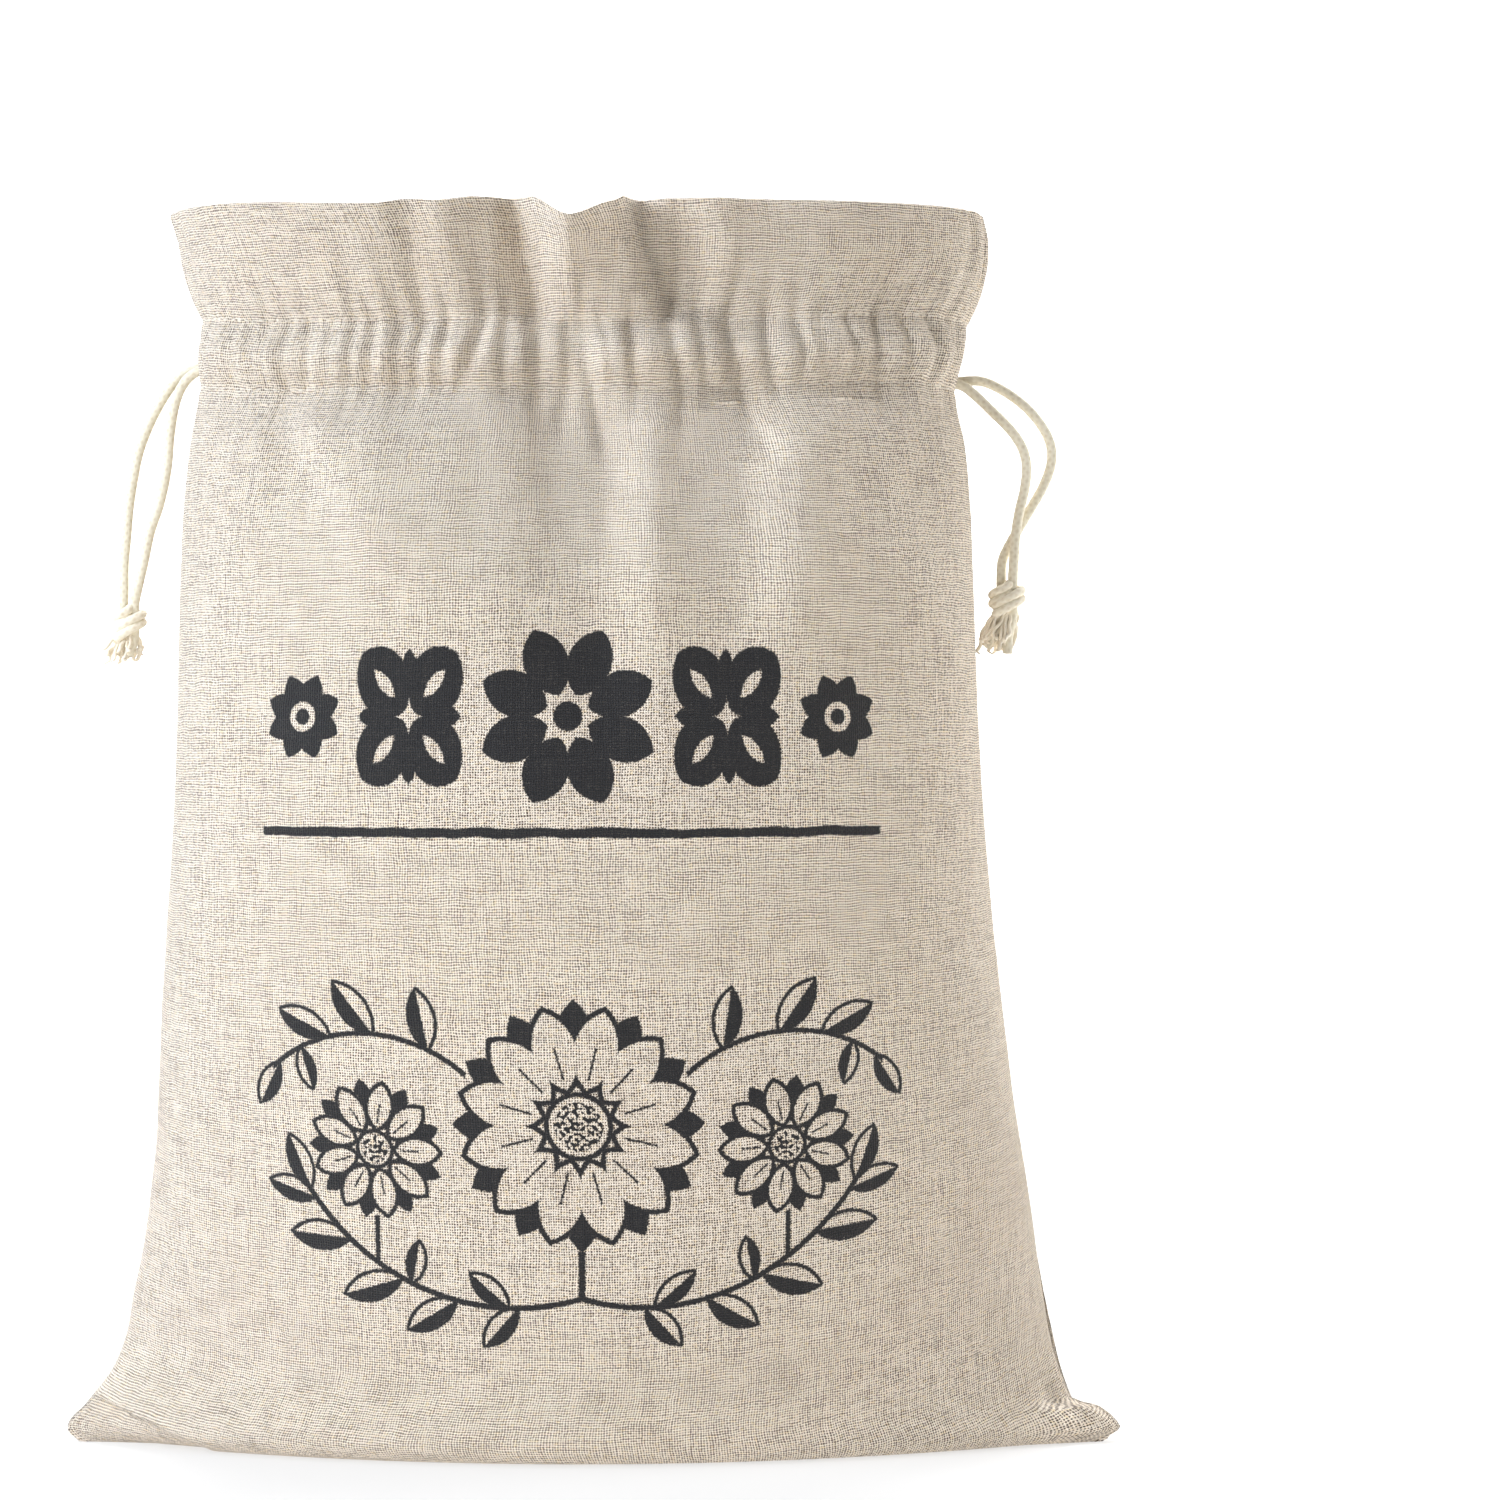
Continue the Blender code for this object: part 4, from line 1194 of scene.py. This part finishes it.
bm = bmesh.new()
bmesh.ops.create_grid(bm, x_segments=1, y_segments=24, size=0.5)
for vert in bm.verts:
    along = (vert.co.y + 0.5) * PAPER_LENGTH
    bend = min(max((along - PAPER_FLAT) / PAPER_BEND, 0.0), 1.0) * math.pi / 2
    vert.co.x *= PAPER_WIDTH
    vert.co.y = PAPER_FRONT + min(along, PAPER_FLAT) + BEND_RADIUS * math.sin(bend)
    vert.co.z = BEND_RADIUS * (1 - math.cos(bend)) + max(along - PAPER_FLAT - PAPER_BEND, 0.0)
mesh = bpy.data.meshes.new("floor")
bm.to_mesh(mesh)
bm.free()
mesh.shade_smooth()
floor = bpy.data.objects.new("floor", mesh)
bpy.context.scene.collection.objects.link(floor)
finish, shader, tree, start = new_finish("white_paper", 0.9)
shader.inputs["Base Color"].default_value = (0.31, 0.30, 0.285, 1.0)
shader.inputs["Emission Color"].default_value = (1.0, 1.0, 1.0, 1.0)
shader.inputs["Emission Strength"].default_value = 0.60
floor.data.materials.append(finish)

world = bpy.data.worlds.new("studio")
world.use_nodes = True
world.node_tree.nodes["Background"].inputs["Color"].default_value = (0.98, 0.99, 1.0, 1.0)
world.node_tree.nodes["Background"].inputs["Strength"].default_value = 0.03
bpy.context.scene.world = world
bpy.context.scene.view_settings.view_transform = "Standard"

AIM = Vector((0.0, -0.03, 0.18))
LAMPS = (
    # name, place, where it points, width, watts, colour
    ("key_lamp", (-1.6, -1.3, 0.7), AIM, 0.6, 24.0, (0.935, 0.99, 1.09)),
    ("left_lamp", (-1.9, -0.3, 0.9), AIM, 0.8, 13.5, (0.84, 0.985, 1.19)),
    ("high_lamp", (-1.7, -0.9, 1.5), AIM, 0.5, 8.5, (0.88, 0.99, 1.15)),
    ("corner_lamp", (-1.0, -1.0, 2.2), AIM, 0.6, 14.0, (0.92, 0.99, 1.10)),
    ("top_lamp", (0.0, -0.3, 2.5), AIM, 1.0, 12.0, (0.94, 0.99, 1.08)),
    ("right_lamp", (2.1, 0.2, 0.8), AIM, 1.2, 20.0, (1.01, 0.985, 0.95)),
    ("rim_lamp", (1.9, 0.7, 0.7), AIM, 0.8, 15.0, (0.95, 0.99, 1.04)),
    ("low_lamp", (0.0, -0.55, 0.0), (0.0, -0.05, 0.06), 0.1, 1.50, (1.02, 1.0, 0.97)),
    ("wall_lamp", (0.0, 0.6, 1.9), (0.0, 2.6, 0.9), 1.2, 200.0, (1.0, 1.0, 1.0)),
)
for name, place, target, width, watts, colour in LAMPS:
    light = bpy.data.lights.new(name, "AREA")
    light.shape = "DISK"
    light.size = width
    light.energy = watts
    light.color = colour
    lamp = bpy.data.objects.new(name, light)
    lamp.location = place
    lamp.rotation_euler = (Vector(target) - Vector(place)).to_track_quat("-Z", "Y").to_euler()
    bpy.context.scene.collection.objects.link(lamp)

bpy.context.view_layer.update()
